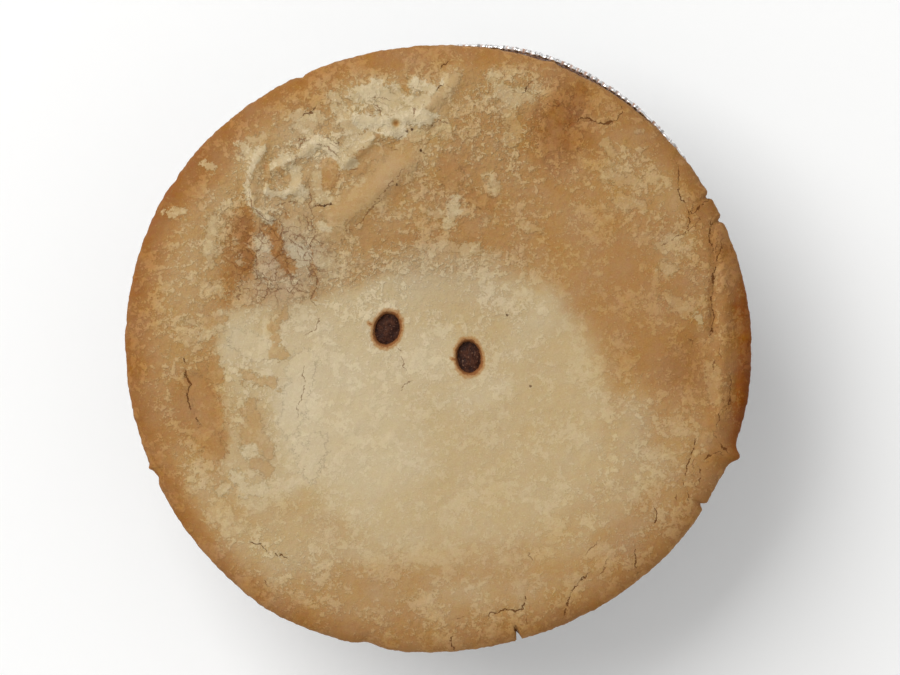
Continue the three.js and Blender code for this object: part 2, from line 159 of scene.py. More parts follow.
# Hairline cracks, in the same way
FINE_CRACKS = [
    (1.6, [(310, 177), (309, 184), (310, 195), (312, 199), (309, 204), (312, 209), (314, 217)]),
    (1.6, [(314, 217), (312, 225), (315, 229)]),
    (1.6, [(304, 216), (308, 222), (309, 229), (315, 233), (316, 237), (312, 243), (308, 251)]),
    (1.5, [(308, 251), (311, 257), (315, 270)]),
    (1.5, [(315, 270), (317, 276), (316, 288), (313, 294), (311, 300), (315, 304), (321, 308)]),
    (1.3, [(405, 168), (396, 180), (383, 194), (372, 203)]),
    (1.4, [(398, 141), (404, 138), (405, 134)]),
    (1.5, [(430, 129), (435, 124), (438, 120), (444, 122), (448, 124)]),
    (1.6, [(317, 145), (327, 147), (332, 150), (338, 157)]),
    (1.0, [(397, 345), (401, 351), (402, 358), (404, 367), (409, 373), (413, 376)]),
    (1.0, [(412, 379), (407, 384), (401, 388), (399, 394)]),
    (0.8, [(308, 357), (303, 369), (305, 382), (304, 392), (299, 404), (297, 423)]),
    (1.1, [(320, 313), (318, 329), (304, 336)]),
    (1.5, [(371, 98), (377, 97), (384, 100), (392, 101)]),
    (1.4, [(374, 104), (379, 107), (384, 110)]),
    (1.4, [(375, 111), (381, 113), (382, 118)]),
    (1.3, [(368, 116), (375, 115)]),
    (1.5, [(413, 107), (416, 112), (413, 117)]),
    (1.3, [(420, 106), (426, 103)]),
    (1.4, [(292, 157), (298, 149), (303, 143), (311, 138)]),
    (1.4, [(432, 139), (425, 145), (421, 151), (424, 154), (430, 153)]),
    (1.3, [(391, 148), (398, 150)]),
    (1.4, [(324, 137), (334, 142), (345, 146)]),
    (1.3, [(350, 171), (358, 167)]),
    (1.5, [(295, 143), (299, 142), (301, 139), (309, 141)]),
    (1.3, [(251, 176), (251, 198), (253, 208), (260, 215), (266, 221), (276, 222)]),
    (1.4, [(284, 234), (288, 239), (295, 243), (300, 247), (306, 252)]),
    (1.4, [(266, 246), (257, 251), (257, 260), (256, 266), (257, 278), (252, 281), (248, 284)]),
    (1.4, [(258, 269), (265, 275), (268, 279), (275, 280), (277, 271), (280, 266)]),
    (1.4, [(268, 279), (268, 286), (267, 291), (265, 297), (258, 296)]),
    (1.4, [(270, 289), (278, 291), (286, 289), (291, 292), (293, 287), (301, 293), (312, 292)]),
    (1.3, [(239, 285), (240, 294), (237, 297), (240, 300), (241, 304)]),
    (1.2, [(245, 270), (252, 268), (257, 268)]),
    (1.3, [(276, 207), (280, 205), (286, 203), (298, 202), (305, 204)]),
    (1.3, [(276, 212), (281, 215), (281, 220), (283, 227)]),
    (1.3, [(315, 270), (320, 271), (329, 271)]),
    (1.3, [(541, 106), (549, 104), (556, 108), (563, 105)]),
    (1.3, [(383, 198), (370, 209), (359, 225), (345, 232)]),
    (1.4, [(701, 217), (694, 226), (688, 231), (671, 240), (659, 247)]),
    (1.4, [(686, 337), (691, 341), (691, 347)]),
    (1.4, [(719, 347), (720, 358)]),
    (1.4, [(715, 360), (713, 370)]),
    (1.4, [(691, 474), (695, 479), (696, 487)]),
    (1.3, [(676, 494), (676, 500)]),
    (1.4, [(596, 542), (585, 554)]),
    (1.4, [(608, 559), (600, 574)]),
    (1.4, [(525, 614), (527, 624)]),
    (1.4, [(265, 577), (268, 588)]),
    (1.1, [(528, 552), (534, 560)]),
    (1.1, [(456, 620), (470, 612)]),
]
CRACK_REACH = 12 * PX
CRACK_FADE = (5 * PX, 9 * PX)
CRACK_ENDS = (0.02, 0.98)  # shares of a crack's length, past which it gets no narrower
# Each kind of crack, with the depth of its dip where it is as wide as the full width
CRACKS = {"wide_crack": (WIDE_CRACKS, 0.35 * MM), "fine_crack": (FINE_CRACKS, 0.1 * MM)}
CRACK_DIP_REACH = 0.4 * MM
CRACK_FULL_WIDTH = 3 * PX
# Small round pits: place and half width in pixels, depth
PITS = [
    ((396, 124), 4, 0.6 * MM),
    ((380, 130), 2.5, 0.2 * MM),
    ((380, 115), 1.8, 0.3 * MM),
    ((435, 121), 1.8, 0.3 * MM),
]
DEEPEST_PIT = 0.6 * MM
# Pits get painted shade, darker the deeper they are
PIT_SHADE_SHARE = 0.9  # share of a pit's size that is darkened
# Specks burnt dark, in pixels
SPECKS = [(507, 315), (530, 386), (397, 185), (421, 151), (412, 130), (407, 132), (325, 206), (331, 204)]
SPECK_REACH = 6

# Steam vents: place, half length and half width in pixels, turn
VENTS = {
    "gravy_left": ((387.3, 329), 16, 12.5, 75),
    "gravy_right": ((468.8, 357.2), 16.3, 12, 95),
}
VENT_DEPTH = 2.6 * MM
VENT_WALL = (0.78, 1.1)  # the lid falls away between these shares of a vent's size
VENT_REACH = 4
POOL_SPREAD = 1.12  # the gravy reaches a little into the vent's wall
POOL_SAG = 0.3 * MM
POOL_RINGS = 14
# Where gravy has boiled over beside a vent: place, half length and half width in pixels, turn
BOILED_OVER = [((370.5, 324), 4.5, 2.2, 150), ((453.5, 359), 4, 2, 165)]
BOILED_OVER_FADE = 0.3

# The crust's colour follows from its tone, out of 255. Paler flakes of skin lie on it in islands of all
# sizes: the second number says how much they stand out from the bare ground.
CRUST = (138, 26)
# The pale middle of the lid, as an outline in pixels that is sharp on its left and soft along its foot
PALE_MIDDLE = [
    (222, 308), (217, 350), (220, 400), (225, 440), (220, 472), (236, 503), (265, 528), (305, 548),
    (350, 560), (400, 561), (460, 563), (505, 557), (548, 542), (580, 516), (602, 490), (612, 450),
    (612, 402), (606, 362), (590, 330), (564, 303), (532, 282), (494, 267), (450, 258), (412, 262),
    (382, 276), (345, 290), (300, 302), (262, 300),
]
PALE_MIDDLE_CRUST = (166, 15)
PALE_MIDDLE_SOFT = ([-40 * MM, 15 * MM], [7 * MM, 2.2 * MM])  # half width of its edge, by y
PALE_MIDDLE_SHARP = ([-38 * MM, 0], [0.25, 1])  # share of that, by x
# Painted over one another: place, half length and half width in pixels, turn, softness, tone, and how much
# flakes stand out
PATCHES = [
    # the pale middle
    ((345, 400), 105, 72, 95, 0.8, 182, 13),
    ((302, 415), 44, 18, 88, 0.8, 189, 13),
    ((244, 346), 26, 18, 90, 0.7, 184, 17),
    ((275, 325), 26, 7, 80, 0.6, 158, 20),
    ((250, 420), 56, 20, 96, 0.7, 160, 24),
    ((250, 372), 26, 16, 90, 0.8, 172, 20),
    ((395, 298), 44, 16, 4, 0.8, 176, 16),
    ((430, 352), 26, 34, 90, 0.8, 181, 14),
    ((450, 262), 70, 12, 175, 0.8, 155, 24),
    ((525, 330), 34, 16, 60, 0.8, 173, 15),
    ((478, 392), 32, 18, 10, 0.8, 177, 14),
    ((272, 352), 18, 14, 0, 0.8, 180, 15),
    ((365, 465), 46, 24, 10, 0.8, 180, 14),
    ((600, 470), 34, 16, 55, 0.8, 166, 22),
    ((250, 490), 30, 14, 10, 0.7, 166, 26),
    # the brown upper right
    ((480, 150), 70, 30, 170, 0.8, 143, 32),
    ((455, 178), 46, 18, 100, 0.8, 139, 32),
    ((425, 152), 26, 14, 60, 0.8, 150, 28),
    ((500, 90), 56, 22, 170, 0.7, 148, 32),
    ((395, 214), 36, 16, 40, 0.8, 145, 26),
    ((450, 212), 10, 6, 60, 0.7, 158, 26),
    ((491, 183), 9, 5, 110, 0.7, 152, 26),
    ((622, 176), 44, 24, 120, 0.8, 146, 26),
    ((600, 112), 28, 16, 140, 0.8, 131, 22),
    ((592, 146), 24, 14, 100, 0.8, 130, 22),
    ((670, 190), 26, 16, 120, 0.8, 146, 22),
    ((564, 118), 48, 23, 80, 0.7, 105, 24),
    ((670, 250), 24, 13, 38, 0.7, 148, 24),
    ((640, 310), 90, 46, 112, 0.8, 132, 18),
    ((690, 378), 40, 26, 105, 0.8, 118, 17),
    ((664, 452), 56, 34, 62, 0.8, 144, 19),
    ((640, 482), 40, 28, 55, 0.8, 157, 19),
    ((594, 520), 56, 26, 40, 0.8, 157, 19),
    ((626, 432), 40, 18, 80, 0.8, 162, 20),
    ((640, 510), 66, 13, 44, 0.8, 142, 20),
    # above the left vent
    ((348, 268), 20, 9, 10, 0.8, 146, 20),
    # the blistered upper left
    ((300, 168), 104, 54, 30, 0.6, 156, 34),
    ((208, 172), 40, 13, 46, 0.8, 132, 24),
    ((306, 104), 24, 12, 30, 0.7, 133, 26),
    ((392, 106), 54, 24, 172, 0.6, 164, 36),
    ((402, 117), 22, 9, 172, 0.6, 170, 30),
    ((376, 96), 22, 9, 172, 0.6, 168, 30),
    ((325, 148), 36, 13, 165, 0.7, 162, 36),
    ((254, 168), 30, 9, 88, 0.6, 160, 30),
    ((305, 192), 22, 12, 90, 0.7, 158, 36),
    ((372, 188), 52, 15, 43, 0.5, 149, 14),
    ((331, 178), 14, 10, 10, 0.6, 140, 22),
    ((362, 160), 16, 9, 28, 0.6, 143, 22),
    ((443, 86), 30, 8, 45, 0.6, 156, 20),
    # the crackled and scorched patch
    ((292, 254), 52, 44, 0, 0.6, 157, 28),
    ((242, 244), 36, 15, 88, 0.7, 124, 30),
    ((244, 230), 17, 10, 78, 0.9, 109, 22),
    ((229, 268), 24, 7, 92, 0.6, 120, 20),
    ((272, 238), 13, 10, 90, 0.6, 132, 28),
    ((284, 267), 14, 11, 0, 0.7, 130, 30),
    ((247, 262), 10, 8, 90, 0.6, 116, 26),
    # the left side and the lower edge
    ((190, 290), 80, 30, 86, 0.8, 150, 24),
    ((198, 408), 40, 26, 100, 0.7, 131, 22),
    ((208, 446), 22, 14, 100, 0.8, 134, 24),
    ((206, 488), 42, 24, 125, 0.8, 155, 30),
    ((275, 550), 56, 24, 155, 0.8, 164, 30),
    ((285, 510), 36, 12, 20, 0.8, 158, 22),
    ((375, 592), 76, 20, 0, 0.8, 145, 21),
    ((440, 600), 24, 20, 90, 0.8, 149, 24),
    ((520, 588), 56, 18, 8, 0.8, 148, 20),
    ((470, 588), 24, 12, 0, 0.8, 156, 22),
    ((330, 530), 36, 16, 160, 0.8, 158, 18),
]
# Where flakes lie flatter, or stand out more, than the patches say: place, half length and half width in
# pixels, turn, share
FLAKINESS = [
    ((430, 490), 190, 105, 0, 0.62),
    ((500, 566), 110, 40, 0, 0.7),
    ((576, 318), 110, 56, 90, 0.55),
    ((245, 508), 70, 46, 140, 0.65),
    ((395, 285), 70, 36, 0, 1.5),
    ((515, 312), 44, 30, 140, 1.4),
    ((360, 338), 40, 30, 0, 1.3),
    ((525, 118), 46, 40, 0, 1.25),
    ((245, 258), 50, 40, 90, 1.25),
]
# Pieces of skin with a crisp, torn edge, paler or browner than what is round them: half width in pixels,
# tone, points in pixels
TORN_SKIN = [
    # cream blisters of the upper left
    (10, 190, [(356, 121), (378, 123), (396, 129)]),
    (9, 185, [(399, 116), (412, 115), (428, 119)]),
    (8, 174, [(398, 99), (412, 104), (425, 100)]),
    (6, 178, [(415, 88), (428, 88)]),
    (7, 186, [(372, 91), (386, 90)]),
    (8, 175, [(384, 105), (398, 107), (410, 104)]),
    (4, 182, [(441, 84), (430, 95), (417, 106)]),
    (5, 174, [(395, 90), (396, 98)]),
    (9, 178, [(358, 97), (378, 88), (386, 94)]),
    (9, 168, [(345, 117), (353, 131)]),
    (9, 172, [(350, 150), (356, 141), (368, 140)]),
    (7, 178, [(307, 153), (318, 143), (330, 148), (341, 158), (350, 165)]),
    (6, 177, [(275, 164), (290, 160), (304, 154)]),
    (4, 182, [(264, 149), (257, 160), (250, 172), (247, 185), (250, 199)]),
    (3.5, 180, [(250, 205), (258, 213), (270, 222)]),
    (8, 174, [(295, 170), (297, 185), (301, 196)]),
    (4.5, 182, [(268, 192), (280, 194), (292, 192)]),
    (6, 166, [(318, 176), (318, 190), (328, 203)]),
    (6, 168, [(334, 97), (338, 110)]),
    (8, 163, [(300, 121), (310, 118), (319, 120)]),
    (6, 166, [(298, 128), (309, 135)]),
    (14, 149, [(336, 214), (372, 190), (408, 154)]),
    (5, 160, [(360, 186), (386, 172)]),
    (5, 172, [(322, 226), (329, 231)]),
    (6, 157, [(430, 106), (441, 96), (452, 84), (459, 76)]),
    (5, 168, [(243, 148), (250, 155)]),
    (4, 160, [(254, 140), (262, 138)]),
    # browner pockets between them
    (6, 144, [(362, 157), (375, 152), (388, 152)]),
    (9, 137, [(329, 182), (330, 166)]),
    (6, 146, [(280, 172), (288, 178)]),
    (5, 140, [(352, 172), (362, 170)]),
    (4, 132, [(290, 213), (293, 221)]),
    (5, 152, [(258, 166), (257, 185), (260, 203)]),
    (4, 138, [(267, 164), (268, 182)]),
    (5, 138, [(404, 83), (407, 94)]),
    # the crackled and scorched patch
    (10, 158, [(295, 224), (297, 237)]),
    (9, 176, [(297, 251), (306, 257)]),
    (10, 148, [(266, 261), (275, 271)]),
    (9, 149, [(243, 290), (262, 290)]),
    (11, 164, [(323, 257), (331, 266)]),
    (8, 151, [(285, 293), (302, 290)]),
    (8, 151, [(320, 237), (342, 235)]),
    (6, 165, [(261, 237), (264, 249)]),
    (5, 112, [(274, 228), (278, 244), (276, 253)]),
    (6, 125, [(284, 261), (289, 270)]),
    (5, 110, [(240, 247), (249, 257)]),
    (2.5, 150, [(236, 242), (242, 252), (240, 262)]),
    (2, 152, [(246, 243), (251, 250)]),
    (3, 138, [(311, 250), (315, 275), (313, 296)]),
    (6.5, 161, [(214, 222), (211, 245), (213, 262)]),
    (4, 154, [(216, 284), (222, 296)]),
    (5, 163, [(170, 214), (183, 211)]),
    (4, 164, [(204, 163), (212, 168)]),
    (4, 160, [(186, 318), (193, 322)]),
    (5, 164, [(204, 336), (221, 328)]),
    # the pale middle's left
    (4, 147, [(287, 307), (280, 318), (275, 330), (276, 345)]),
    (6, 152, [(275, 351), (281, 355)]),
    (7, 146, [(210, 323), (220, 320)]),
    (7, 138, [(214, 362), (216, 380)]),
    (6, 151, [(246, 376), (262, 381), (274, 384)]),
    (9, 150, [(250, 407), (254, 420), (250, 436)]),
    (7, 153, [(262, 440), (270, 456)]),
    (7, 151, [(255, 462), (268, 471)]),
    (6, 177, [(253, 446), (247, 456)]),
    (6, 178, [(235, 473), (246, 490), (263, 488)]),
    (5, 169, [(222, 489), (228, 488)]),
    (12, 186, [(303, 360), (298, 390), (290, 425)]),
    (9, 183, [(318, 440), (312, 470), (302, 452)]),
    (12, 180, [(240, 338), (258, 350)]),
    (13, 131, [(196, 386), (206, 402), (212, 422)]),
    (11, 132, [(205, 436), (216, 450)]),
    # flakes of the upper right
    (8, 162, [(500, 92), (512, 100), (525, 97)]),
    (8, 153, [(505, 110), (515, 125), (511, 141)]),
    (6, 162, [(487, 77), (494, 79)]),
    (6, 164, [(454, 199), (456, 212), (447, 223)]),
    (5, 156, [(436, 214), (441, 216)]),
    (5, 158, [(491, 179), (495, 192)]),
    (8, 158, [(434, 128), (447, 133)]),
    (7, 152, [(608, 176), (622, 180), (634, 182)]),
    (5, 151, [(604, 144), (613, 157)]),
    (7, 150, [(620, 200), (640, 206)]),
    (4, 150, [(636, 131), (642, 133)]),
    (6, 150, [(524, 226), (536, 229)]),
    (6, 160, [(466, 251), (477, 249)]),
    (7, 156, [(437, 250), (452, 246)]),
    (5, 150, [(486, 222), (494, 223)]),
    (6, 152, [(660, 246), (672, 240)]),
    (6, 152, [(663, 265), (671, 270)]),
    (7, 145, [(667, 297), (686, 313)]),
    (4, 160, [(696, 316), (699, 318)]),
    (8, 140, [(709, 368), (715, 384), (715, 398)]),
    (4, 122, [(714, 240), (713, 262), (711, 300), (712, 330)]),
    (8, 106, [(579, 88), (576, 103)]),
    (10, 106, [(560, 116), (555, 130), (566, 142)]),
    (6, 115, [(543, 136), (548, 146)]),
    (8, 134, [(446, 160), (456, 176), (452, 188)]),
    (7, 127, [(470, 196), (492, 205)]),
]
TORN_REACH = 22 * PX
# Where the crust is greyer than elsewhere: place, half length and half width in pixels, turn, amount
GREYED = [
    ((284, 262), 50, 44, 0, 0.30),
    ((440, 272), 90, 30, 175, 0.14),
    ((575, 306), 50, 20, 45, 0.12),
    ((640, 440), 40, 20, 70, 0.10),
    ((400, 588), 150, 40, 0, 0.06),
    ((640, 520), 66, 40, 45, 0.10),
]
# The crackled patch: place, half length and half width in pixels, turn
CRACKLED = ((278, 258), 60, 52, 0)
CRACKLED_FADE = (0.6, 1.1)
# The browned rim: angle round the lid, how far it reaches in from the edge there, in pixels, and its tone
RIM_BROWN = [
    (0, 34, 83), (9, 33, 91), (17, 34, 104), (25, 34, 112), (45, 22, 124), (70, 20, 126),
    (90, 32, 122), (112, 30, 117), (135, 32, 108), (150, 34, 98), (165, 34, 102), (180, 34, 105),
    (205, 32, 109), (235, 22, 117), (250, 22, 122), (268, 24, 126), (285, 24, 118), (300, 26, 112),
    (318, 26, 122), (335, 30, 116), (342, 28, 92), (348, 30, 77), (354, 32, 77), (360, 34, 83),
]
RIM_BROWN_FADE = (-0.1, 1.4)
RIM_FLAKES_LOST = 0.3

# Crust colours from dark to pale: tone out of 255, colour as the photo shows it
CRUST_COLOURS = [
    (46, (66, 39, 25)), (58, (79, 50, 32)), (70, (110, 61, 26)), (82, (126, 70, 28)), (94, (138, 83, 39)),
    (106, (144, 98, 54)), (118, (155, 110, 64)), (130, (165, 122, 75)), (142, (173, 136, 89)),
    (154, (180, 150, 107)), (166, (187, 164, 124)), (178, (194, 175, 140)), (190, (201, 184, 151)),
    (202, (210, 194, 164)),
]


# Places on the lid

def on_lid(points_px):
    """Pixels of the photo as places on the lid, in metres."""
    across = np.asarray(points_px, float) - LID_MIDDLE_PX
    return across * (PX, -PX)


def smoothstep(value, low, high):
    share = np.clip((value - low) / (high - low), 0, 1)
    return share * share * (3 - 2 * share)


def bell(distance, reach):
    return np.exp(-((distance / reach) ** 2))


def directions(angle):
    """Directions in plan at angles in degrees."""
    turn = np.radians(angle)
    return np.stack([np.cos(turn), np.sin(turn)], 1)


def turned_from(angle, start):
    """Angles as turned from a start, from -180 to 180 degrees."""
    return (angle - start + 180) % 360 - 180


def lid_edge(angle):
    """Radius of the lid's edge at angles in degrees, and what chips and crumbs add to it."""
    radius = np.full_like(angle, LID_RADIUS)
    for lobes, swing, peak in EDGE_WAVES:
        radius += swing * np.cos(np.radians(lobes * (angle - peak)))
    chips = lumps_at(directions(angle) * LID_RADIUS, EDGE_CRUMBS)
    for at, reach, out in EDGE_CHIPS:
        chips += out * bell(turned_from(angle, at), reach)
    return radius, chips


def cloud(places, size, octaves, seed):
    """Uneven values from about -1 to 1 at places, with lumps of about the given size."""
    lumps = np.empty(len(places))
    for i, (x, y) in enumerate(places / size):
        lumps[i] = noise.fractal((x, y, seed * 7.3), 0.7, 2.0, octaves)
    return lumps


def lumps_at(places, layers):
    return sum(swing * cloud(places, size, octaves, seed) for size, swing, octaves, seed in layers)


def warp(places, size, swing, seed):
    """Places pushed sideways by an uneven field, so that what is drawn there gets a natural outline."""
    moved = np.empty_like(places)
    for i, (x, y) in enumerate(places / size):
        moved[i] = noise.noise_vector((x, y, seed * 3.7))[:2]
    return places + swing * moved


def oval_distance(places, at_px, long_px, wide_px, turn):
    """Distance from an oval's middle, 1 on its outline."""
    x, y = (places - on_lid(at_px)).T
    c, s = math.cos(math.radians(turn)), math.sin(math.radians(turn))
    return np.hypot((c * x + s * y) / (long_px * PX), (c * y - s * x) / (wide_px * PX))


class LineField:
    """For the places within reach of a line: distance to it, its side, and how far along it that is."""

    def __init__(self, places, line_px, reach=1.0):
        line = on_lid(line_px)
        lengths = np.hypot(*np.diff(line, axis=0).T)
        in_reach = (places > line.min(axis=0) - reach) & (places < line.max(axis=0) + reach)
        self.at = np.flatnonzero(in_reach.all(axis=1))
        self.distance = np.full(len(self.at), np.inf)
        self.side = np.ones(len(self.at))
        self.along = np.zeros(len(self.at))
        start = 0
        for a, b, length in zip(line, line[1:], lengths):
            direction = (b - a) / length
            rel = places[self.at] - a
            t = np.clip(rel @ direction, 0, length)
            gap = np.hypot(*(rel - t[:, None] * direction).T)
            near = gap < self.distance
            cross = direction[0] * rel[:, 1] - direction[1] * rel[:, 0]
            self.distance = np.where(near, gap, self.distance)
            self.side = np.where(near, np.where(cross < 0, -1, 1), self.side)
            self.along = np.where(near, (start + t) / lengths.sum(), self.along)
            start += length


def crack_field(places, cracks):
    """Signed distance to the nearest crack, and the crack's width there."""
    offset = np.full(len(places), CRACK_REACH)
    width = np.zeros(len(places))
    for width_px, line_px in cracks:
        field = LineField(places, line_px, CRACK_REACH)
        nearer = field.distance < np.abs(offset[field.at])
        at = field.at[nearer]
        distance = field.distance[nearer]
        taper = np.sin(math.pi * np.clip(field.along[nearer], *CRACK_ENDS)) ** 0.5
        offset[at] = field.side[nearer] * distance
        width[at] = width_px * PX * taper * (1 - smoothstep(distance, *CRACK_FADE))
    return offset, width


def torn_skin(places):
    """How far inside the nearest piece of torn skin a place is, negative outside it, and the skin's tone."""
    inside = np.full(len(places), -TORN_REACH)
    tone = np.full(len(places), float(CRUST[0]))
    for half_px, skin_tone, line_px in TORN_SKIN:
        field = LineField(places, line_px, half_px * PX + TORN_REACH)
        depth = half_px * PX - field.distance
        deeper = depth > inside[field.at]
        inside[field.at[deeper]] = depth[deeper]
        tone[field.at[deeper]] = skin_tone
    return np.minimum(inside, TORN_REACH), tone


def inside_distance(places, outline_px):
    """Distance into a closed outline, negative outside it."""
    outline = on_lid(outline_px)
    gap = LineField(places, outline_px + outline_px[:1]).distance
    x, y = places.T
    inside = np.zeros(len(places), bool)
    for (x0, y0), (x1, y1) in zip(outline, np.roll(outline, -1, axis=0)):
        crosses = (y0 > y) != (y1 > y)
        at = x0 + (y - y0) / (y1 - y0 + 1e-12) * (x1 - x0)
        inside ^= crosses & (x < at)
    return np.where(inside, gap, -gap)


# The pastry's form

def lid_relief(places, cracks):
    """Height that lumps, swells, folds, cracks and pits add to the lid."""
    height = lumps_at(places, LID_LUMPS)
    for *oval, rise in SWELLS:
        height += rise * bell(oval_distance(places, *oval), 1)
    bent = warp(places, *FOLD_WANDER)
    for width_px, rise, line in FOLDS:
        field = LineField(bent, line, 3 * width_px * PX)
        height[field.at] += rise * bell(field.distance, width_px * PX)
    for name, (offset, width) in cracks.items():
        depth = CRACKS[name][1]
        height -= depth * bell(offset, CRACK_DIP_REACH) * width / CRACK_FULL_WIDTH
    for place, half_px, depth in PITS:
        height -= depth * bell(oval_distance(places, place, half_px, half_px, 0), 1)
    return height


def vent_sink(places):
    """How far the lid falls away at the vents."""
    sink = np.zeros(len(places))
    for oval in VENTS.values():
        sink += VENT_DEPTH * (1 - smoothstep(oval_distance(places, *oval), *VENT_WALL))
    return sink


def lattice(rings, skirts):
    """A hexagon of even triangles, of radius 1, with skirts below its rim, each 1 lower than the last."""
    bm = bmesh.new()
    bmesh.ops.create_circle(bm, cap_ends=True, cap_tris=True, segments=6, radius=1)
    bmesh.ops.subdivide_edges(bm, edges=bm.edges[:], cuts=rings - 1, use_grid_fill=True)
    rim = [edge for edge in bm.edges if edge.is_boundary]
    for _ in range(skirts):
        made = bmesh.ops.extrude_edge_only(bm, edges=rim)["geom"]
        bmesh.ops.translate(bm, verts=[v for v in made if isinstance(v, bmesh.types.BMVert)], vec=(0, 0, -1))
        rim = [edge for edge in made if isinstance(edge, bmesh.types.BMEdge) and edge.is_boundary]
    bmesh.ops.edgeloop_fill(bm, edges=rim)
    bmesh.ops.recalc_face_normals(bm, faces=bm.faces[:])
    return bm


def plan_of(mesh):
    """Share of the radius, angle in degrees and skirt number of a lattice's vertices."""
    co = np.empty(len(mesh.vertices) * 3)
    mesh.vertices.foreach_get("co", co)
    x, y, z = co.reshape(-1, 3).T
    turn = (np.degrees(np.arctan2(y, x)) - 30) % 360
    sector = np.floor(turn / 60)
    within = np.radians(turn - 60 * sector)
    radius = np.hypot(x, y)
    # A hexagon's side, taken as a mix of its two corners, gives even steps round each ring.
    second = radius * np.sin(within) / math.sin(math.radians(60))
    first = radius * np.cos(within) - second / 2
    share = first + second
    angle = 30 + 60 * (sector + second / np.maximum(share, 1e-9))
    return np.minimum(share, 1), angle % 360, np.rint(-z).astype(int)


def finished_mesh(name, bm):
    mesh = bpy.data.meshes.new(name)
    bm.to_mesh(mesh)
    bm.free()
    mesh.shade_smooth()
    return mesh


def placed(name, mesh, material, node):
    """The piece as an object that rides on the part and stands for its solid."""
    piece = bpy.data.objects.new(name, mesh)
    bpy.context.collection.objects.link(piece)
    mesh.materials.append(material)
    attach(piece, "root")
    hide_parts(node)
    return piece


def store(mesh, name, values):
    """Keeps a value on each vertex, for the finish to read."""
    layer = mesh.attributes.new(name, "FLOAT", "POINT")
    layer.data.foreach_set("value", np.asarray(values, np.float32))


def move_to(mesh, places, height):
    mesh.vertices.foreach_set("co", np.column_stack([places, height]).ravel())
    mesh.update()


# Below the lid's widest line: inset from its edge and height
LIP = [
    (0.15 * MM, LID_EDGE_Z - 0.5 * MM),
    (0.6 * MM, LID_EDGE_Z - 1.1 * MM),
    (1.2 * MM, LID_EDGE_Z - 1.55 * MM),
    (2.0 * MM, TIN_HEIGHT + 0.35 * MM),
]
# The body inside the tin: radius and height
BODY = [
    (51.85 * MM, TIN_HEIGHT + 0.35 * MM),
    (51.85 * MM, TIN_HEIGHT - 0.65 * MM),
    (49.5 * MM, TIN_HEIGHT - 0.65 * MM),
    (40.1 * MM, 1.65 * MM),
]


def pastry():
    mesh = finished_mesh("pastry_crust", lattice(LID_RINGS, len(LIP) + len(BODY)))
    share, angle, row = plan_of(mesh)
    edge, chips = lid_edge(angle)
    radius = share * edge + chips * smoothstep(share, EDGE_CHIPS_FROM, 1)
    outward = directions(angle)
    places = outward * radius[:, None]
    crown = (LID_TOP_Z - LID_EDGE_Z) * np.sqrt(1 - share ** LID_ROLL)
    cracks = {name: crack_field(places, lines) for name, (lines, _) in CRACKS.items()}
    relief = lid_relief(places, cracks) * (1 - share ** RELIEF_FADE)
    height = LID_EDGE_Z + crown + relief - vent_sink(places)
    for number, (inset, z) in enumerate(LIP, 1):
        here = row == number
        places[here] = outward[here] * (radius[here] - inset)[:, None]
        height[here] = z
    for number, (body_radius, z) in enumerate(BODY, len(LIP) + 1):
        here = row == number
        places[here] = outward[here] * body_radius + TIN_CENTRE
        height[here] = z
    move_to(mesh, places, height)
    paint_crust(mesh, places, (1 - share) * edge, angle)
    for name, (offset, width) in cracks.items():
        store(mesh, name + "_offset", offset)
        store(mesh, name + "_width", width)
    return placed("pastry_crust", mesh, crust_finish(), "pastry_pie")


def crust_tones(at, places, from_edge, angle):
    """Tone of the crust, out of 255, and how much its flakes stand out."""
    crust = np.tile(np.array(CRUST, float), (len(at), 1))
    x, y = at.T
    soft = np.interp(y, *PALE_MIDDLE_SOFT) * np.interp(x, *PALE_MIDDLE_SHARP)
    middle = smoothstep(inside_distance(at, PALE_MIDDLE) / soft, -1, 1)
    crust += (PALE_MIDDLE_CRUST - crust) * middle[:, None]
    for *oval, softness, tone, flaked in PATCHES:
        cover = 1 - smoothstep(oval_distance(at, *oval), 1 - softness, 1 + softness)
        crust += ((tone, flaked) - crust) * cover[:, None]
    angles, reaches, tones = np.array(RIM_BROWN, float).T
    reach = np.interp(angle, angles, reaches) * PX
    inward = from_edge + lumps_at(places, RIM_BROWN_LUMPS)
    brown = (1 - smoothstep(inward / reach, *RIM_BROWN_FADE)) ** 1.5
    crust[:, 0] += (np.interp(angle, angles, tones) - crust[:, 0]) * brown
    crust[:, 1] *= 1 - RIM_FLAKES_LOST * brown
    for *oval, share in FLAKINESS:
        crust[:, 1] *= 1 + (share - 1) * bell(oval_distance(at, *oval), 1)
    return crust.T


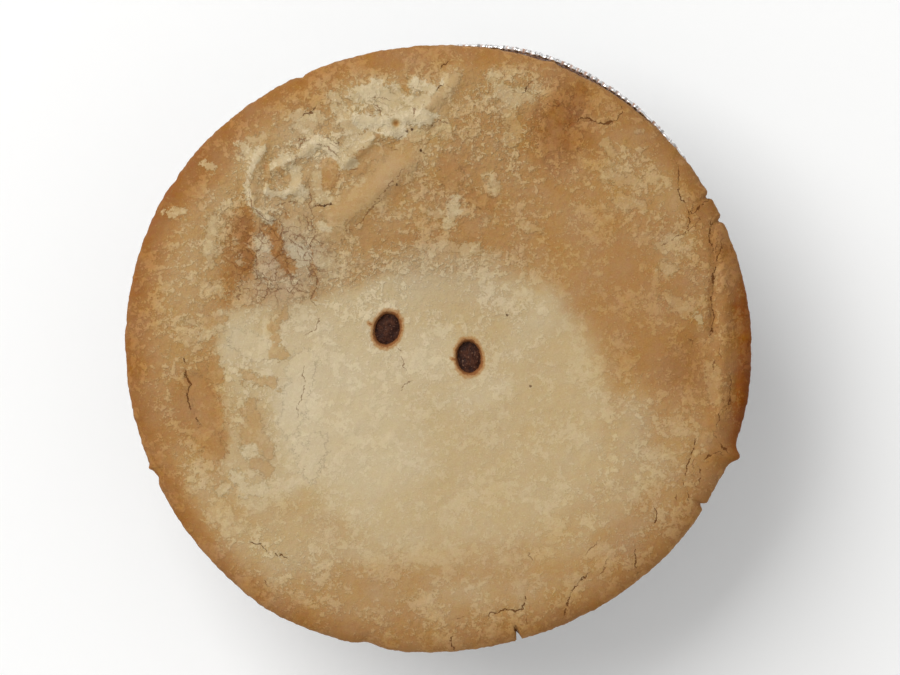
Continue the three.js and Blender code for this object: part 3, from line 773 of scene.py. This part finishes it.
def paint_crust(mesh, places, from_edge, angle):
    """Stores what the crust's finish reads, from its tone to how near a vent is."""
    at = warp(warp(places, *TONE_WANDER), *TONE_FRAY)
    tone, flaked = crust_tones(at, places, from_edge, angle)
    store(mesh, "tone", tone / 255)
    store(mesh, "flaked", flaked / 255)
    inside, torn_tone = torn_skin(warp(places, *TORN_WANDER))
    store(mesh, "torn", inside)
    store(mesh, "torn_tone", torn_tone / 255)
    greys = [amount * bell(oval_distance(at, *oval), 1) for *oval, amount in GREYED]
    store(mesh, "grey", np.max(greys, axis=0))
    store(mesh, "crackle", 1 - smoothstep(oval_distance(at, *CRACKLED), *CRACKLED_FADE))
    # How much painted shade each pit gets, by its depth
    pit = np.zeros(len(places))
    for place, half_px, depth in PITS:
        dark = bell(oval_distance(places, place, half_px, half_px, 0), PIT_SHADE_SHARE)
        pit = np.maximum(pit, depth / DEEPEST_PIT * dark)
    store(mesh, "pit", pit)
    speck = np.min([np.hypot(*(places - on_lid(place)).T) for place in SPECKS], axis=0)
    store(mesh, "speck", np.minimum(speck / PX, SPECK_REACH))
    vents = [oval_distance(places, *oval) for oval in VENTS.values()]
    spills = [1 + BOILED_OVER_FADE * oval_distance(places, *spot) for spot in BOILED_OVER]
    store(mesh, "vent", np.minimum(np.min(vents + spills, axis=0), VENT_REACH))


def vent_gravy(node):
    """The gravy in a vent, up to its level, with a skin that is not quite even."""
    mesh = finished_mesh(node + "_pool", lattice(POOL_RINGS, 1))
    share, angle, row = plan_of(mesh)
    at_px, long_px, wide_px, turn = VENTS[node]
    reach = POOL_SPREAD * PX * share[:, None] * (long_px, wide_px)
    along, across = (directions(angle) * reach).T
    c, s = math.cos(math.radians(turn)), math.sin(math.radians(turn))
    places = on_lid(at_px) + np.stack([c * along - s * across, s * along + c * across], 1)
    low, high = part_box(node)
    height = high.z - POOL_SAG * share ** 2 + lumps_at(places, GRAVY_SKIN)
    move_to(mesh, places, np.where(row == 1, low.z, height))
    return placed(node + "_pool", mesh, gravy_finish(), node)


# The foil tin

RIM_RADIUS = 54.4 * MM
BEAD = 0.5 * MM
FLANGE_Z = TIN_HEIGHT - 1 * MM
WALL_TOP = 50.6 * MM
FOOT_RADIUS = 41 * MM
HEEL = 1.2 * MM
FOIL = 0.3 * MM
PANEL_RADIUS = 32 * MM
PANEL_RISE = 1 * MM
PLEATS = 50
PLEAT_DEPTH = 1.2 * MM
PLEAT_CREASE = 0.97  # the nearer to 1, the sharper the pleats
PLEAT_FOOT = 7 * MM
PLEAT_HEAD = 27 * MM
RIM_BULGE_AT = 56
RIM_BULGE_REACH = 30
RIM_BULGE_OUT = 2.2 * MM
RIM_BULGE_FROM = 18 * MM
RIM_WRINKLES = 255
RIM_WRINKLE_IN = 0.18 * MM
RIM_WRINKLE_DOWN = 0.22 * MM
# Unevenness in layers: size of the lumps, swing, octaves, seed
RIM_WRINKLE_SHIFT = [(5 * MM, 2.2, 2, 6)]
RIM_WRINKLE_DEPTH = [(3 * MM, 0.4, 2, 7)]
RIM_DENTS_OUT = [(1 * MM, 0.12 * MM, 2, 8)]
RIM_DENTS_UP = [(1.2 * MM, 0.1 * MM, 2, 9)]
TIN_SECTORS = 100
TIN_CUTS = 14  # columns added in each sector
WALL_RINGS = 12
WALL_SPAN = (0.06, 0.97)  # shares of the flange's height
BEAD_STEPS = 11
BEAD_TURN = (-110, 190)  # degrees, from below the bead round to its inside
# Where the finish changes, between which values: the last is a height, the others are radii
RIM_FROM = (RIM_RADIUS - 1.6 * MM, RIM_RADIUS - 0.8 * MM)
TROUGH_FROM = (RIM_RADIUS - 3 * MM, RIM_RADIUS - 2.4 * MM)
TROUGH_TO = (RIM_RADIUS - 1.3 * MM, RIM_RADIUS - 1 * MM)
JUICE_AND_SHADE_FROM = (FLANGE_Z - 0.6 * MM, FLANGE_Z - 0.3 * MM)
# Across the foot, from the middle of the pressed panel to the heel: radius and height
FOOT = [
    (0, PANEL_RISE),
    (PANEL_RADIUS - 1.8 * MM, PANEL_RISE),
    (PANEL_RADIUS - 0.8 * MM, 0.8 * PANEL_RISE),
    (PANEL_RADIUS, 0.2 * PANEL_RISE),
    (PANEL_RADIUS + 0.8 * MM, 0),
    (FOOT_RADIUS - HEEL, 0),
    (FOOT_RADIUS - 0.5 * HEEL, 0.15 * HEEL),
]
# The flange, from below it, round the bead and back across the trough beside the bead: radius and height
FLANGE_UNDER = [
    (WALL_TOP + 0.6 * MM, FLANGE_Z - 0.5 * MM),
    (RIM_RADIUS - 1.5 * MM, FLANGE_Z - 0.8 * MM),
]
FLANGE_TOP = [
    (RIM_RADIUS - 1.12 * MM, FLANGE_Z - 0.2 * MM),
    (RIM_RADIUS - 1.4 * MM, FLANGE_Z - 0.3 * MM),
    (RIM_RADIUS - 1.7 * MM, FLANGE_Z + 0.1 * MM),
    (RIM_RADIUS - 2.2 * MM, FLANGE_Z + 0.1 * MM),
    (WALL_TOP + 0.2 * MM, FLANGE_Z),
]


def tin_section():
    """Radius and height round the tin's section, from the middle of its foot to the middle of its floor."""
    slope = (WALL_TOP - FOOT_RADIUS) / (FLANGE_Z - HEEL)
    heights = np.linspace(*WALL_SPAN, WALL_RINGS) * FLANGE_Z
    wall = [(FOOT_RADIUS + slope * (z - HEEL), z) for z in heights]
    outside = [(radius + FOIL, z) for radius, z in wall]
    turns = np.radians(np.linspace(*BEAD_TURN, BEAD_STEPS))
    bead = [(RIM_RADIUS + BEAD * (math.cos(t) - 1), TIN_HEIGHT + BEAD * (math.sin(t) - 1)) for t in turns]
    floor = [(radius, z + FOIL) for radius, z in reversed(FOOT)]
    return FOOT + outside + FLANGE_UNDER + bead + FLANGE_TOP + wall[::-1] + floor


def tin_lattice(section):
    """The section spun into a tin of fine columns, with the section's point number kept on each vertex."""
    bm = bmesh.new()
    row = bm.verts.layers.float.new("row")
    points = [bm.verts.new((radius, 0, z)) for radius, z in section]
    for number, point in enumerate(points):
        point[row] = number
    edges = [bm.edges.new(pair) for pair in zip(points, points[1:])]
    bmesh.ops.spin(
        bm, geom=points + edges, cent=(0, 0, 0), axis=(0, 0, 1), angle=2 * math.pi,
        steps=TIN_SECTORS, use_merge=True,
    )
    bmesh.ops.remove_doubles(bm, verts=bm.verts[:], dist=0.001 * MM)
    rings = [edge for edge in bm.edges if abs(edge.verts[0][row] - edge.verts[1][row]) < 0.5]
    bmesh.ops.subdivide_edges(bm, edges=rings, cuts=TIN_CUTS)
    bmesh.ops.recalc_face_normals(bm, faces=bm.faces[:])
    return bm


def foil_tin():
    section = np.array(tin_section())
    mesh = finished_mesh("foil_case", tin_lattice(section))
    co = np.empty(len(mesh.vertices) * 3)
    mesh.vertices.foreach_get("co", co)
    x, y, _ = co.reshape(-1, 3).T
    row = np.empty(len(mesh.vertices))
    mesh.attributes["row"].data.foreach_get("value", row)
    mesh.attributes.remove(mesh.attributes["row"])
    radius, z = (np.interp(row, np.arange(len(section)), side) for side in section.T)
    turn = np.arctan2(y, x)
    angle = np.degrees(turn) % 360
    outward = directions(angle)
    around = outward * RIM_RADIUS

    # Pleats pressed into the wall, some deeper than others
    pleat = np.arcsin(PLEAT_CREASE * np.cos(PLEATS * turn)) / math.asin(PLEAT_CREASE)
    deeper = 1 + 0.3 * np.sin(11 * turn + 2 * np.sin(5 * turn))
    wall = smoothstep(z, HEEL, PLEAT_FOOT) * (1 - smoothstep(z, PLEAT_HEAD, FLANGE_Z))
    push = 0.5 * PLEAT_DEPTH * pleat * deeper * wall

    # The side of the rim that is bent out past the lid
    bulge = np.exp(-(turned_from(angle, RIM_BULGE_AT) / RIM_BULGE_REACH) ** 4)
    push += RIM_BULGE_OUT * bulge * smoothstep(z, RIM_BULGE_FROM, FLANGE_Z)

    # Wrinkles across the rolled rim
    rim = smoothstep(radius, *RIM_FROM)
    wrinkle = np.abs(np.sin(0.5 * RIM_WRINKLES * turn + lumps_at(around, RIM_WRINKLE_SHIFT)))
    depth = 0.6 + lumps_at(around, RIM_WRINKLE_DEPTH)
    push += rim * (RIM_WRINKLE_IN * depth * (wrinkle - 0.8) + lumps_at(around, RIM_DENTS_OUT))
    lift = rim * (RIM_WRINKLE_DOWN * depth * (wrinkle - 1) + lumps_at(around, RIM_DENTS_UP))
    reach = radius + push * (radius > 0)
    move_to(mesh, outward * reach[:, None] + TIN_CENTRE, np.minimum(z + lift, TIN_HEIGHT))

    # The valleys between the rim's wrinkles get painted shade, in the brown of the juices.
    crease_shade = (1 - smoothstep(wrinkle, 0.2, 0.7)) * smoothstep(depth, 0.3, 0.6)
    trough = smoothstep(radius, *TROUGH_FROM) * (1 - smoothstep(radius, *TROUGH_TO))
    above = smoothstep(z, *JUICE_AND_SHADE_FROM)
    store(mesh, "baked_on", above * np.maximum(rim * crease_shade, trough))
    # Painted shade in the valleys of the pleats
    store(mesh, "groove", wall * smoothstep(-pleat, 0.35, 1))
    store(mesh, "rim", rim)
    return placed("foil_case", mesh, foil_finish(), "foil_tin")


# Finishes

# Sizes of what the finishes are made of; a bend is the size of the lumps that push it sideways, and how far
SKIN_SHEET = 4.6 * MM
SKIN_RUFFLE = 1.7 * MM
SKIN_CRUMB = 0.7 * MM
SKIN_GRAIN = 0.28 * MM
FLAKE_CROWD = 6 * MM
FLAKE = 1.3 * MM
FLAKE_SPECK = 0.5 * MM
GOLDEN_PATCH = 5.5 * MM
RUDDY_SPOT = 0.9 * MM
CRAZED_PLATE = 2.8 * MM
CRACK_KINK = 1.3 * MM
CRACK_WANDER = 11 * PX
CRACK_CLOSED_STRETCH = 1.5 * MM
SKIN_BEND = (2.4 * MM, 1.1 * MM)
FLAKE_BEND = (0.6 * MM, 0.45 * MM)
PLATE_BEND = (1.3 * MM, 2.0 * MM)
GRAVY_LUMP = 0.9 * MM
GRAVY_GRAIN = 0.35 * MM
FOIL_FACET = 5 * MM
FOIL_FACET_BEND = (4 * MM, 2 * MM)
FOIL_DENT = 3 * MM
FOIL_RUB = 12 * MM
RIM_CRIMP = 0.8 * MM
RIM_CRIMP_BEND = 1.2 * MM
FLOOR_CLOUD = 400 * MM
# Where the rings round a vent end, as shares of its size between which they fade
CARAMEL_TO = (1.24, 1.42)
DARK_CARAMEL_TO = (1.1, 1.2)
BURNT_GRAVY_TO = (0.9, 1.0)
PIT_SHADE_TONE = 0.42
BAKED_SHINE = 0.12  # of crust and gravy

# Colours out of 255, as the photo shows them
ASH = (158, 152, 143)
HAIRLINE_SHADE_BROWN = (114, 68, 32)
CRACK_SHADE_BROWN = (98, 54, 15)
SPECK_BROWN = (78, 48, 26)
CARAMEL = (166, 116, 62)
DARK_CARAMEL = (132, 78, 38)
BURNT_GRAVY = (66, 36, 20)
GRAVY_DARK = (44, 22, 14)
GRAVY_LIGHT = (78, 44, 28)
GRAVY_FLECK = (132, 98, 76)
FOIL_DULL = (188, 190, 193)
FOIL_BRIGHT = (216, 217, 219)
FOIL_GROOVE_SHADE = (118, 120, 125)
FOIL_RIM_HIGHLIGHT = (250, 250, 250)
FOIL_CRIMP_SHADE = (104, 92, 84)
JUICE_AND_SHADE_BROWN = (164, 114, 80)
FLOOR_PALE = (246, 246, 245)
FLOOR_PALER = (250, 250, 249)


def linear(colour):
    """A colour out of 255 as the photo shows it, as light."""
    shares = [c / 255 for c in colour]
    return [s / 12.92 if s <= 0.04045 else ((s + 0.055) / 1.055) ** 2.4 for s in shares] + [1]


class Term:
    """A number that varies over a surface: Python's operators on it add Math nodes."""

    def __init__(self, finish, socket):
        self.finish = finish
        self.socket = socket

    def __add__(self, other):
        return self.finish.math("ADD", self, other)

    def __sub__(self, other):
        return self.finish.math("SUBTRACT", self, other)

    def __rsub__(self, other):
        return self.finish.math("SUBTRACT", other, self)

    def __mul__(self, other):
        return self.finish.math("MULTIPLY", self, other)

    def __truediv__(self, other):
        return self.finish.math("DIVIDE", self, other)

    def __abs__(self):
        return self.finish.math("ABSOLUTE", self)

    __radd__ = __add__
    __rmul__ = __mul__


class Finish:
    """A material, and the nodes that make it."""

    def __init__(self, name):
        self.material = bpy.data.materials.new(name)
        self.material.use_nodes = True
        self.tree = self.material.node_tree
        self.shader = self.tree.nodes["Principled BSDF"]

    def feed(self, socket, value):
        if isinstance(value, Term):
            self.tree.links.new(value.socket, socket)
        else:
            socket.default_value = value

    def node(self, kind, settings=None, sockets=None, out=0):
        """A node with its settings, then the values or links of its sockets; gives one of its outputs."""
        node = self.tree.nodes.new(kind)
        for name, value in (settings or {}).items():
            if name == "stops":
                self.set_stops(node.color_ramp, value)
            else:
                setattr(node, name, value)
        for key, value in (sockets or {}).items():
            self.feed(node.inputs[key], value)
        return Term(self, node.outputs[out])

    @staticmethod
    def set_stops(ramp, stops):
        while len(ramp.elements) < len(stops):
            ramp.elements.new(1)
        for element, (position, colour) in zip(ramp.elements, stops):
            element.position = position
            element.color = colour

    def math(self, operation, *values):
        return self.node("ShaderNodeMath", {"operation": operation}, dict(enumerate(values)))

    def place(self):
        return self.node("ShaderNodeTexCoord", out="Object")

    def painted(self, name):
        return self.node("ShaderNodeAttribute", {"attribute_name": name}, out="Fac")

    def lumps(self, place, size, detail=2, roughness=0.5, distortion=0):
        """Uneven values from 0 to 1 with lumps of about the given size."""
        sockets = {
            "Vector": place, "Scale": 1 / size, "Detail": detail, "Roughness": roughness,
            "Distortion": distortion,
        }
        return self.node("ShaderNodeTexNoise", None, sockets)

    def cell_edges(self, place, size):
        """Distance to the edge of irregular cells of about the given size, in cell sizes."""
        return self.node(
            "ShaderNodeTexVoronoi", {"feature": "DISTANCE_TO_EDGE"}, {"Vector": place, "Scale": 1 / size},
        )

    def step(self, value, low, high):
        """0 below low, 1 above high, smooth between."""
        return self.node(
            "ShaderNodeMapRange", {"interpolation_type": "SMOOTHSTEP"},
            {"Value": value, "From Min": low, "From Max": high},
        )

    def mix(self, factor, first, second):
        return self.node("ShaderNodeMix", {"data_type": "RGBA"}, {0: factor, 6: first, 7: second}, out=2)

    def shift(self, place, size, amount):
        """Places pushed sideways by an uneven field."""
        sockets = {"Vector": place, "Scale": 1 / size, "Detail": 2}
        field = self.node("ShaderNodeTexNoise", None, sockets, out="Color")
        centred = self.node("ShaderNodeVectorMath", {"operation": "SUBTRACT"}, {0: field, 1: (0.5, 0.5, 0.5)})
        scaled = self.node("ShaderNodeVectorMath", {"operation": "SCALE"}, {0: centred, "Scale": amount})
        return self.node("ShaderNodeVectorMath", {"operation": "ADD"}, {0: place, 1: scaled})

    def relief(self, height):
        """The surface's normal from a height in metres."""
        return self.node("ShaderNodeBump", None, {"Height": height, "Distance": 1.0, "Strength": 1.0})


def crust_cracks(crust, at, ruffle):
    """How far the crust is open at wide cracks, fine cracks and the crazing of the crackled patch."""
    wander = (crust.lumps(at, CRACK_KINK, 4, 0.65) - 0.5) * CRACK_WANDER
    closing = crust.step(crust.lumps(at, CRACK_CLOSED_STRETCH, 3, 0.6), 0.4, 0.54)
    opened = []
    for name in CRACKS:
        gap = abs(crust.painted(name + "_offset") + wander)
        half = crust.painted(name + "_width") * (0.12 + closing * 0.46)
        line = 1 - crust.step(gap, half * 0.45, half + 0.05 * PX)
        opened.append(line * crust.step(half, 0.12 * PX, 0.3 * PX))
    plates = crust.cell_edges(crust.shift(at, *PLATE_BEND), CRAZED_PLATE)
    crazing = crust.painted("crackle") * (1 - crust.step(plates + ruffle * 0.3, 0.0, 0.05))
    return *opened, crazing


def vent_rings(crust, colour, uneven):
    """A caramel ring where the gravy has boiled up round each vent, burnt along its inner edge."""
    vent = crust.painted("vent") + uneven
    colour = crust.mix((1 - crust.step(vent, *CARAMEL_TO)) * 0.75, colour, linear(CARAMEL))
    colour = crust.mix((1 - crust.step(vent, *DARK_CARAMEL_TO)) * 0.85, colour, linear(DARK_CARAMEL))
    return crust.mix(1 - crust.step(vent, *BURNT_GRAVY_TO), colour, linear(BURNT_GRAVY))


def crust_finish():
    crust = Finish("browned_crust")
    at = crust.place()
    bent = crust.shift(at, *SKIN_BEND)
    near = crust.shift(at, *FLAKE_BEND)
    swell = crust.lumps(bent, SKIN_SHEET, 8, 0.76) - 0.5
    ruffle = crust.lumps(bent, SKIN_RUFFLE, 6, 0.76) - 0.5
    crumble = crust.lumps(at, SKIN_CRUMB, 4, 0.76) - 0.5
    grain = crust.lumps(at, SKIN_GRAIN, 2, 0.6) - 0.5

    # Torn pieces of paler or browner skin
    tone = crust.painted("tone")
    ragged = (swell * 22 + ruffle * 26 + crumble * 14) * PX
    torn = crust.step(crust.painted("torn") + ragged, -1.0 * PX, 1.2 * PX) * 0.85
    tone = tone + (crust.painted("torn_tone") - tone) * torn

    # Crowds of pale flakes, from flat sheets down to specks, on a smoother ground
    flaked = crust.painted("flaked")
    crowd = crust.lumps(bent, FLAKE_CROWD, 3, 0.6) - 0.5
    flakes = crust.lumps(near, FLAKE, 3, 0.6) - 0.5
    sheets = crust.step(swell + crowd * 0.6, 0.04, 0.08)
    scales = crust.step(flakes + crowd * 0.7, 0.065, 0.095)
    specks = crust.step(crust.lumps(near, FLAKE_SPECK, 2, 0.6) + crowd * 0.6, 0.57, 0.61)
    skin = crust.math("MAXIMUM", crust.math("MAXIMUM", sheets * 0.4, scales * 0.7), specks * 0.7)
    paler = (skin - 0.23) * 1.05 * (1 - torn * 0.6) + swell * 0.8 + flakes * 0.5
    fleck = flaked * paler + grain * 0.08
    tone = tone + fleck * 0.7
    # Painted shade in the pits
    tone = tone + (PIT_SHADE_TONE - tone) * crust.painted("pit")

    stops = [(tone_255 / 255, linear(colour)) for tone_255, colour in CRUST_COLOURS]
    colour = crust.node("ShaderNodeValToRGB", {"stops": stops}, {"Fac": tone})
    greyed = crust.painted("grey") * crust.step(tone, 0.46, 0.6)
    colour = crust.mix(greyed, colour, linear(ASH))
    golden = crust.lumps(bent, GOLDEN_PATCH, 5, 0.65) - 0.5
    ruddy = crust.lumps(at, RUDDY_SPOT, 3, 0.7) - 0.5
    colour = crust.node("ShaderNodeHueSaturation", None, {
        "Hue": 0.5 - ruddy * 0.03,
        "Saturation": 1.015 - golden * 0.3,
        "Value": fleck * 1.2 + 1,
        "Color": colour,
    })

    wide, fine, crazing = crust_cracks(crust, at, ruffle)
    # Cracks and crazing are painted dark brown: browner crust in the gaps, with painted shade in them.
    shaded_hairline = crust.math("MAXIMUM", fine * 0.65, crazing * 0.6)
    colour = crust.mix(shaded_hairline, colour, linear(HAIRLINE_SHADE_BROWN))
    colour = crust.mix(wide * 0.88, colour, linear(CRACK_SHADE_BROWN))
    burnt = 1 - crust.step(crust.painted("speck") + ruffle * 2, 1.0, 2.0)
    colour = crust.mix(burnt * 0.95, colour, linear(SPECK_BROWN))
    colour = vent_rings(crust, colour, swell * 0.5 + ruffle * 0.4 + crumble * 0.3)

    crust.feed(crust.shader.inputs["Base Color"], colour)
    crust.feed(crust.shader.inputs["Roughness"], 0.86 - skin * 0.08)
    crust.shader.inputs["Specular IOR Level"].default_value = BAKED_SHINE
    flaky = flaked * (skin * 0.7 + flakes * flaked * (42 + crowd * 70)) * (1 - torn * 0.5)
    cracked = crust.math("MAXIMUM", wide * 0.6, fine * 0.25) + crazing * 0.2
    height = swell * 0.2 + flaky + torn * 0.05 + grain * 0.03 - cracked * 0.2
    crust.feed(crust.shader.inputs["Normal"], crust.relief(height * MM))
    return crust.material


def gravy_finish():
    gravy = Finish("baked_gravy")
    at = gravy.place()
    skin = gravy.lumps(at, GRAVY_LUMP, 4, 0.65)
    flecks = gravy.lumps(at, GRAVY_GRAIN, 2)
    colour = gravy.mix(gravy.step(skin, 0.35, 0.68), linear(GRAVY_DARK), linear(GRAVY_LIGHT))
    colour = gravy.mix(gravy.step(flecks, 0.62, 0.70) * 0.6, colour, linear(GRAVY_FLECK))
    gravy.feed(gravy.shader.inputs["Base Color"], colour)
    gravy.feed(gravy.shader.inputs["Roughness"], 0.3 + skin * 0.3)
    gravy.shader.inputs["Specular IOR Level"].default_value = BAKED_SHINE
    gravy.feed(gravy.shader.inputs["Normal"], gravy.relief((skin * 0.3 + flecks * 0.08) * MM))
    return gravy.material


def foil_finish():
    foil = Finish("crinkled_foil")
    at = foil.place()
    creases = foil.cell_edges(foil.shift(at, *FOIL_FACET_BEND), FOIL_FACET)
    dents = foil.lumps(at, FOIL_DENT, 3, 0.55)
    rub = foil.lumps(at, FOIL_RUB, 4, 0.6)
    colour = foil.mix(foil.step(rub, 0.3, 0.7), linear(FOIL_DULL), linear(FOIL_BRIGHT))
    # The pleats' valleys are darkened with painted shade.
    colour = foil.mix(foil.painted("groove") * 0.7, colour, linear(FOIL_GROOVE_SHADE))
    rim = foil.painted("rim")
    # The rolled rim is painted near white: a painted highlight on the same foil as the wall.
    colour = foil.mix(rim, colour, linear(FOIL_RIM_HIGHLIGHT))

    # Fine crimps across the rolled rim: a small dip, with painted shade along each crimp
    east = foil.node("ShaderNodeSeparateXYZ", None, {"Vector": at}, out="X") - TIN_CENTRE.x
    north = foil.node("ShaderNodeSeparateXYZ", None, {"Vector": at}, out="Y") - TIN_CENTRE.y
    around = foil.math("ARCTAN2", north, east) * RIM_RADIUS + dents * RIM_CRIMP_BEND
    crimps = foil.node(
        "ShaderNodeTexNoise", {"noise_dimensions": "1D"}, {"W": around, "Scale": 1 / RIM_CRIMP, "Detail": 1},
    )
    shaded_crimp = rim * (1 - foil.step(crimps, 0.36, 0.45))
    colour = foil.mix(shaded_crimp * 0.55, colour, linear(FOIL_CRIMP_SHADE))

    # Brown juices baked onto the flange, and painted shade in the rim's creases in the same brown
    juice_and_shade = foil.painted("baked_on") * foil.step(dents, 0.36, 0.5)
    colour = foil.mix(juice_and_shade * 0.9, colour, linear(JUICE_AND_SHADE_BROWN))
    foil.feed(foil.shader.inputs["Base Color"], colour)
    foil.feed(foil.shader.inputs["Roughness"], 0.18 + rub * 0.16 + juice_and_shade * 0.3)
    foil.feed(foil.shader.inputs["Metallic"], 1 - juice_and_shade)
    height = dents * 0.22 + foil.math("MINIMUM", creases, 0.12) * 0.4 - shaded_crimp * 0.08
    foil.feed(foil.shader.inputs["Normal"], foil.relief(height * MM))
    return foil.material


def floor_finish():
    floor = Finish("pale_floor")
    cloudy = floor.lumps(floor.place(), FLOOR_CLOUD, 2)
    colour = floor.mix(cloudy, linear(FLOOR_PALE), linear(FLOOR_PALER))
    floor.feed(floor.shader.inputs["Base Color"], colour)
    floor.shader.inputs["Roughness"].default_value = 0.9
    return floor.material


# The studio

CAMERA_ABOVE = 1.5
FLOOR_HALF = 2.0
ROOM_LIGHT = 0.58
WINDOW_PLACE = Vector((-1.3, 1.15, 1.8))
WINDOW_SIZE = 2.0
WINDOW_POWER = 50


def studio():
    bm = bmesh.new()
    bmesh.ops.create_grid(bm, x_segments=1, y_segments=1, size=FLOOR_HALF)
    floor = bpy.data.objects.new("floor", finished_mesh("floor", bm))
    floor.data.materials.append(floor_finish())
    bpy.context.collection.objects.link(floor)

    world = bpy.data.worlds.new("studio")
    world.use_nodes = True
    room = world.node_tree.nodes["Background"]
    room.inputs["Color"].default_value = (1, 1, 1, 1)
    room.inputs["Strength"].default_value = ROOM_LIGHT
    bpy.context.scene.world = world

    window = bpy.data.lights.new("window", "AREA")
    window.size = WINDOW_SIZE
    window.energy = WINDOW_POWER
    lamp = bpy.data.objects.new("window", window)
    lamp.location = WINDOW_PLACE
    to_lid = Vector((0, 0, LID_TOP_Z)) - WINDOW_PLACE
    lamp.rotation_euler = to_lid.to_track_quat("-Z", "Y").to_euler()
    bpy.context.collection.objects.link(lamp)


def photo_camera():
    camera = bpy.data.cameras.new("photo_camera")
    camera.sensor_fit = "HORIZONTAL"
    camera.angle = 2 * math.atan(PHOTO_WIDTH_PX / 2 * PX / CAMERA_ABOVE)
    camera.clip_start = 0.01
    view = bpy.data.objects.new("photo_camera", camera)
    x, y = on_lid((PHOTO_WIDTH_PX / 2, PHOTO_HEIGHT_PX / 2))
    view.location = (x, y, LID_EDGE_Z + CAMERA_ABOVE)
    bpy.context.collection.objects.link(view)
    bpy.context.scene.camera = view
    bpy.context.scene.view_settings.view_transform = "Standard"


photo_camera()
studio()
foil_tin()
pastry()
for vent_node in VENTS:
    vent_gravy(vent_node)

bpy.context.view_layer.update()
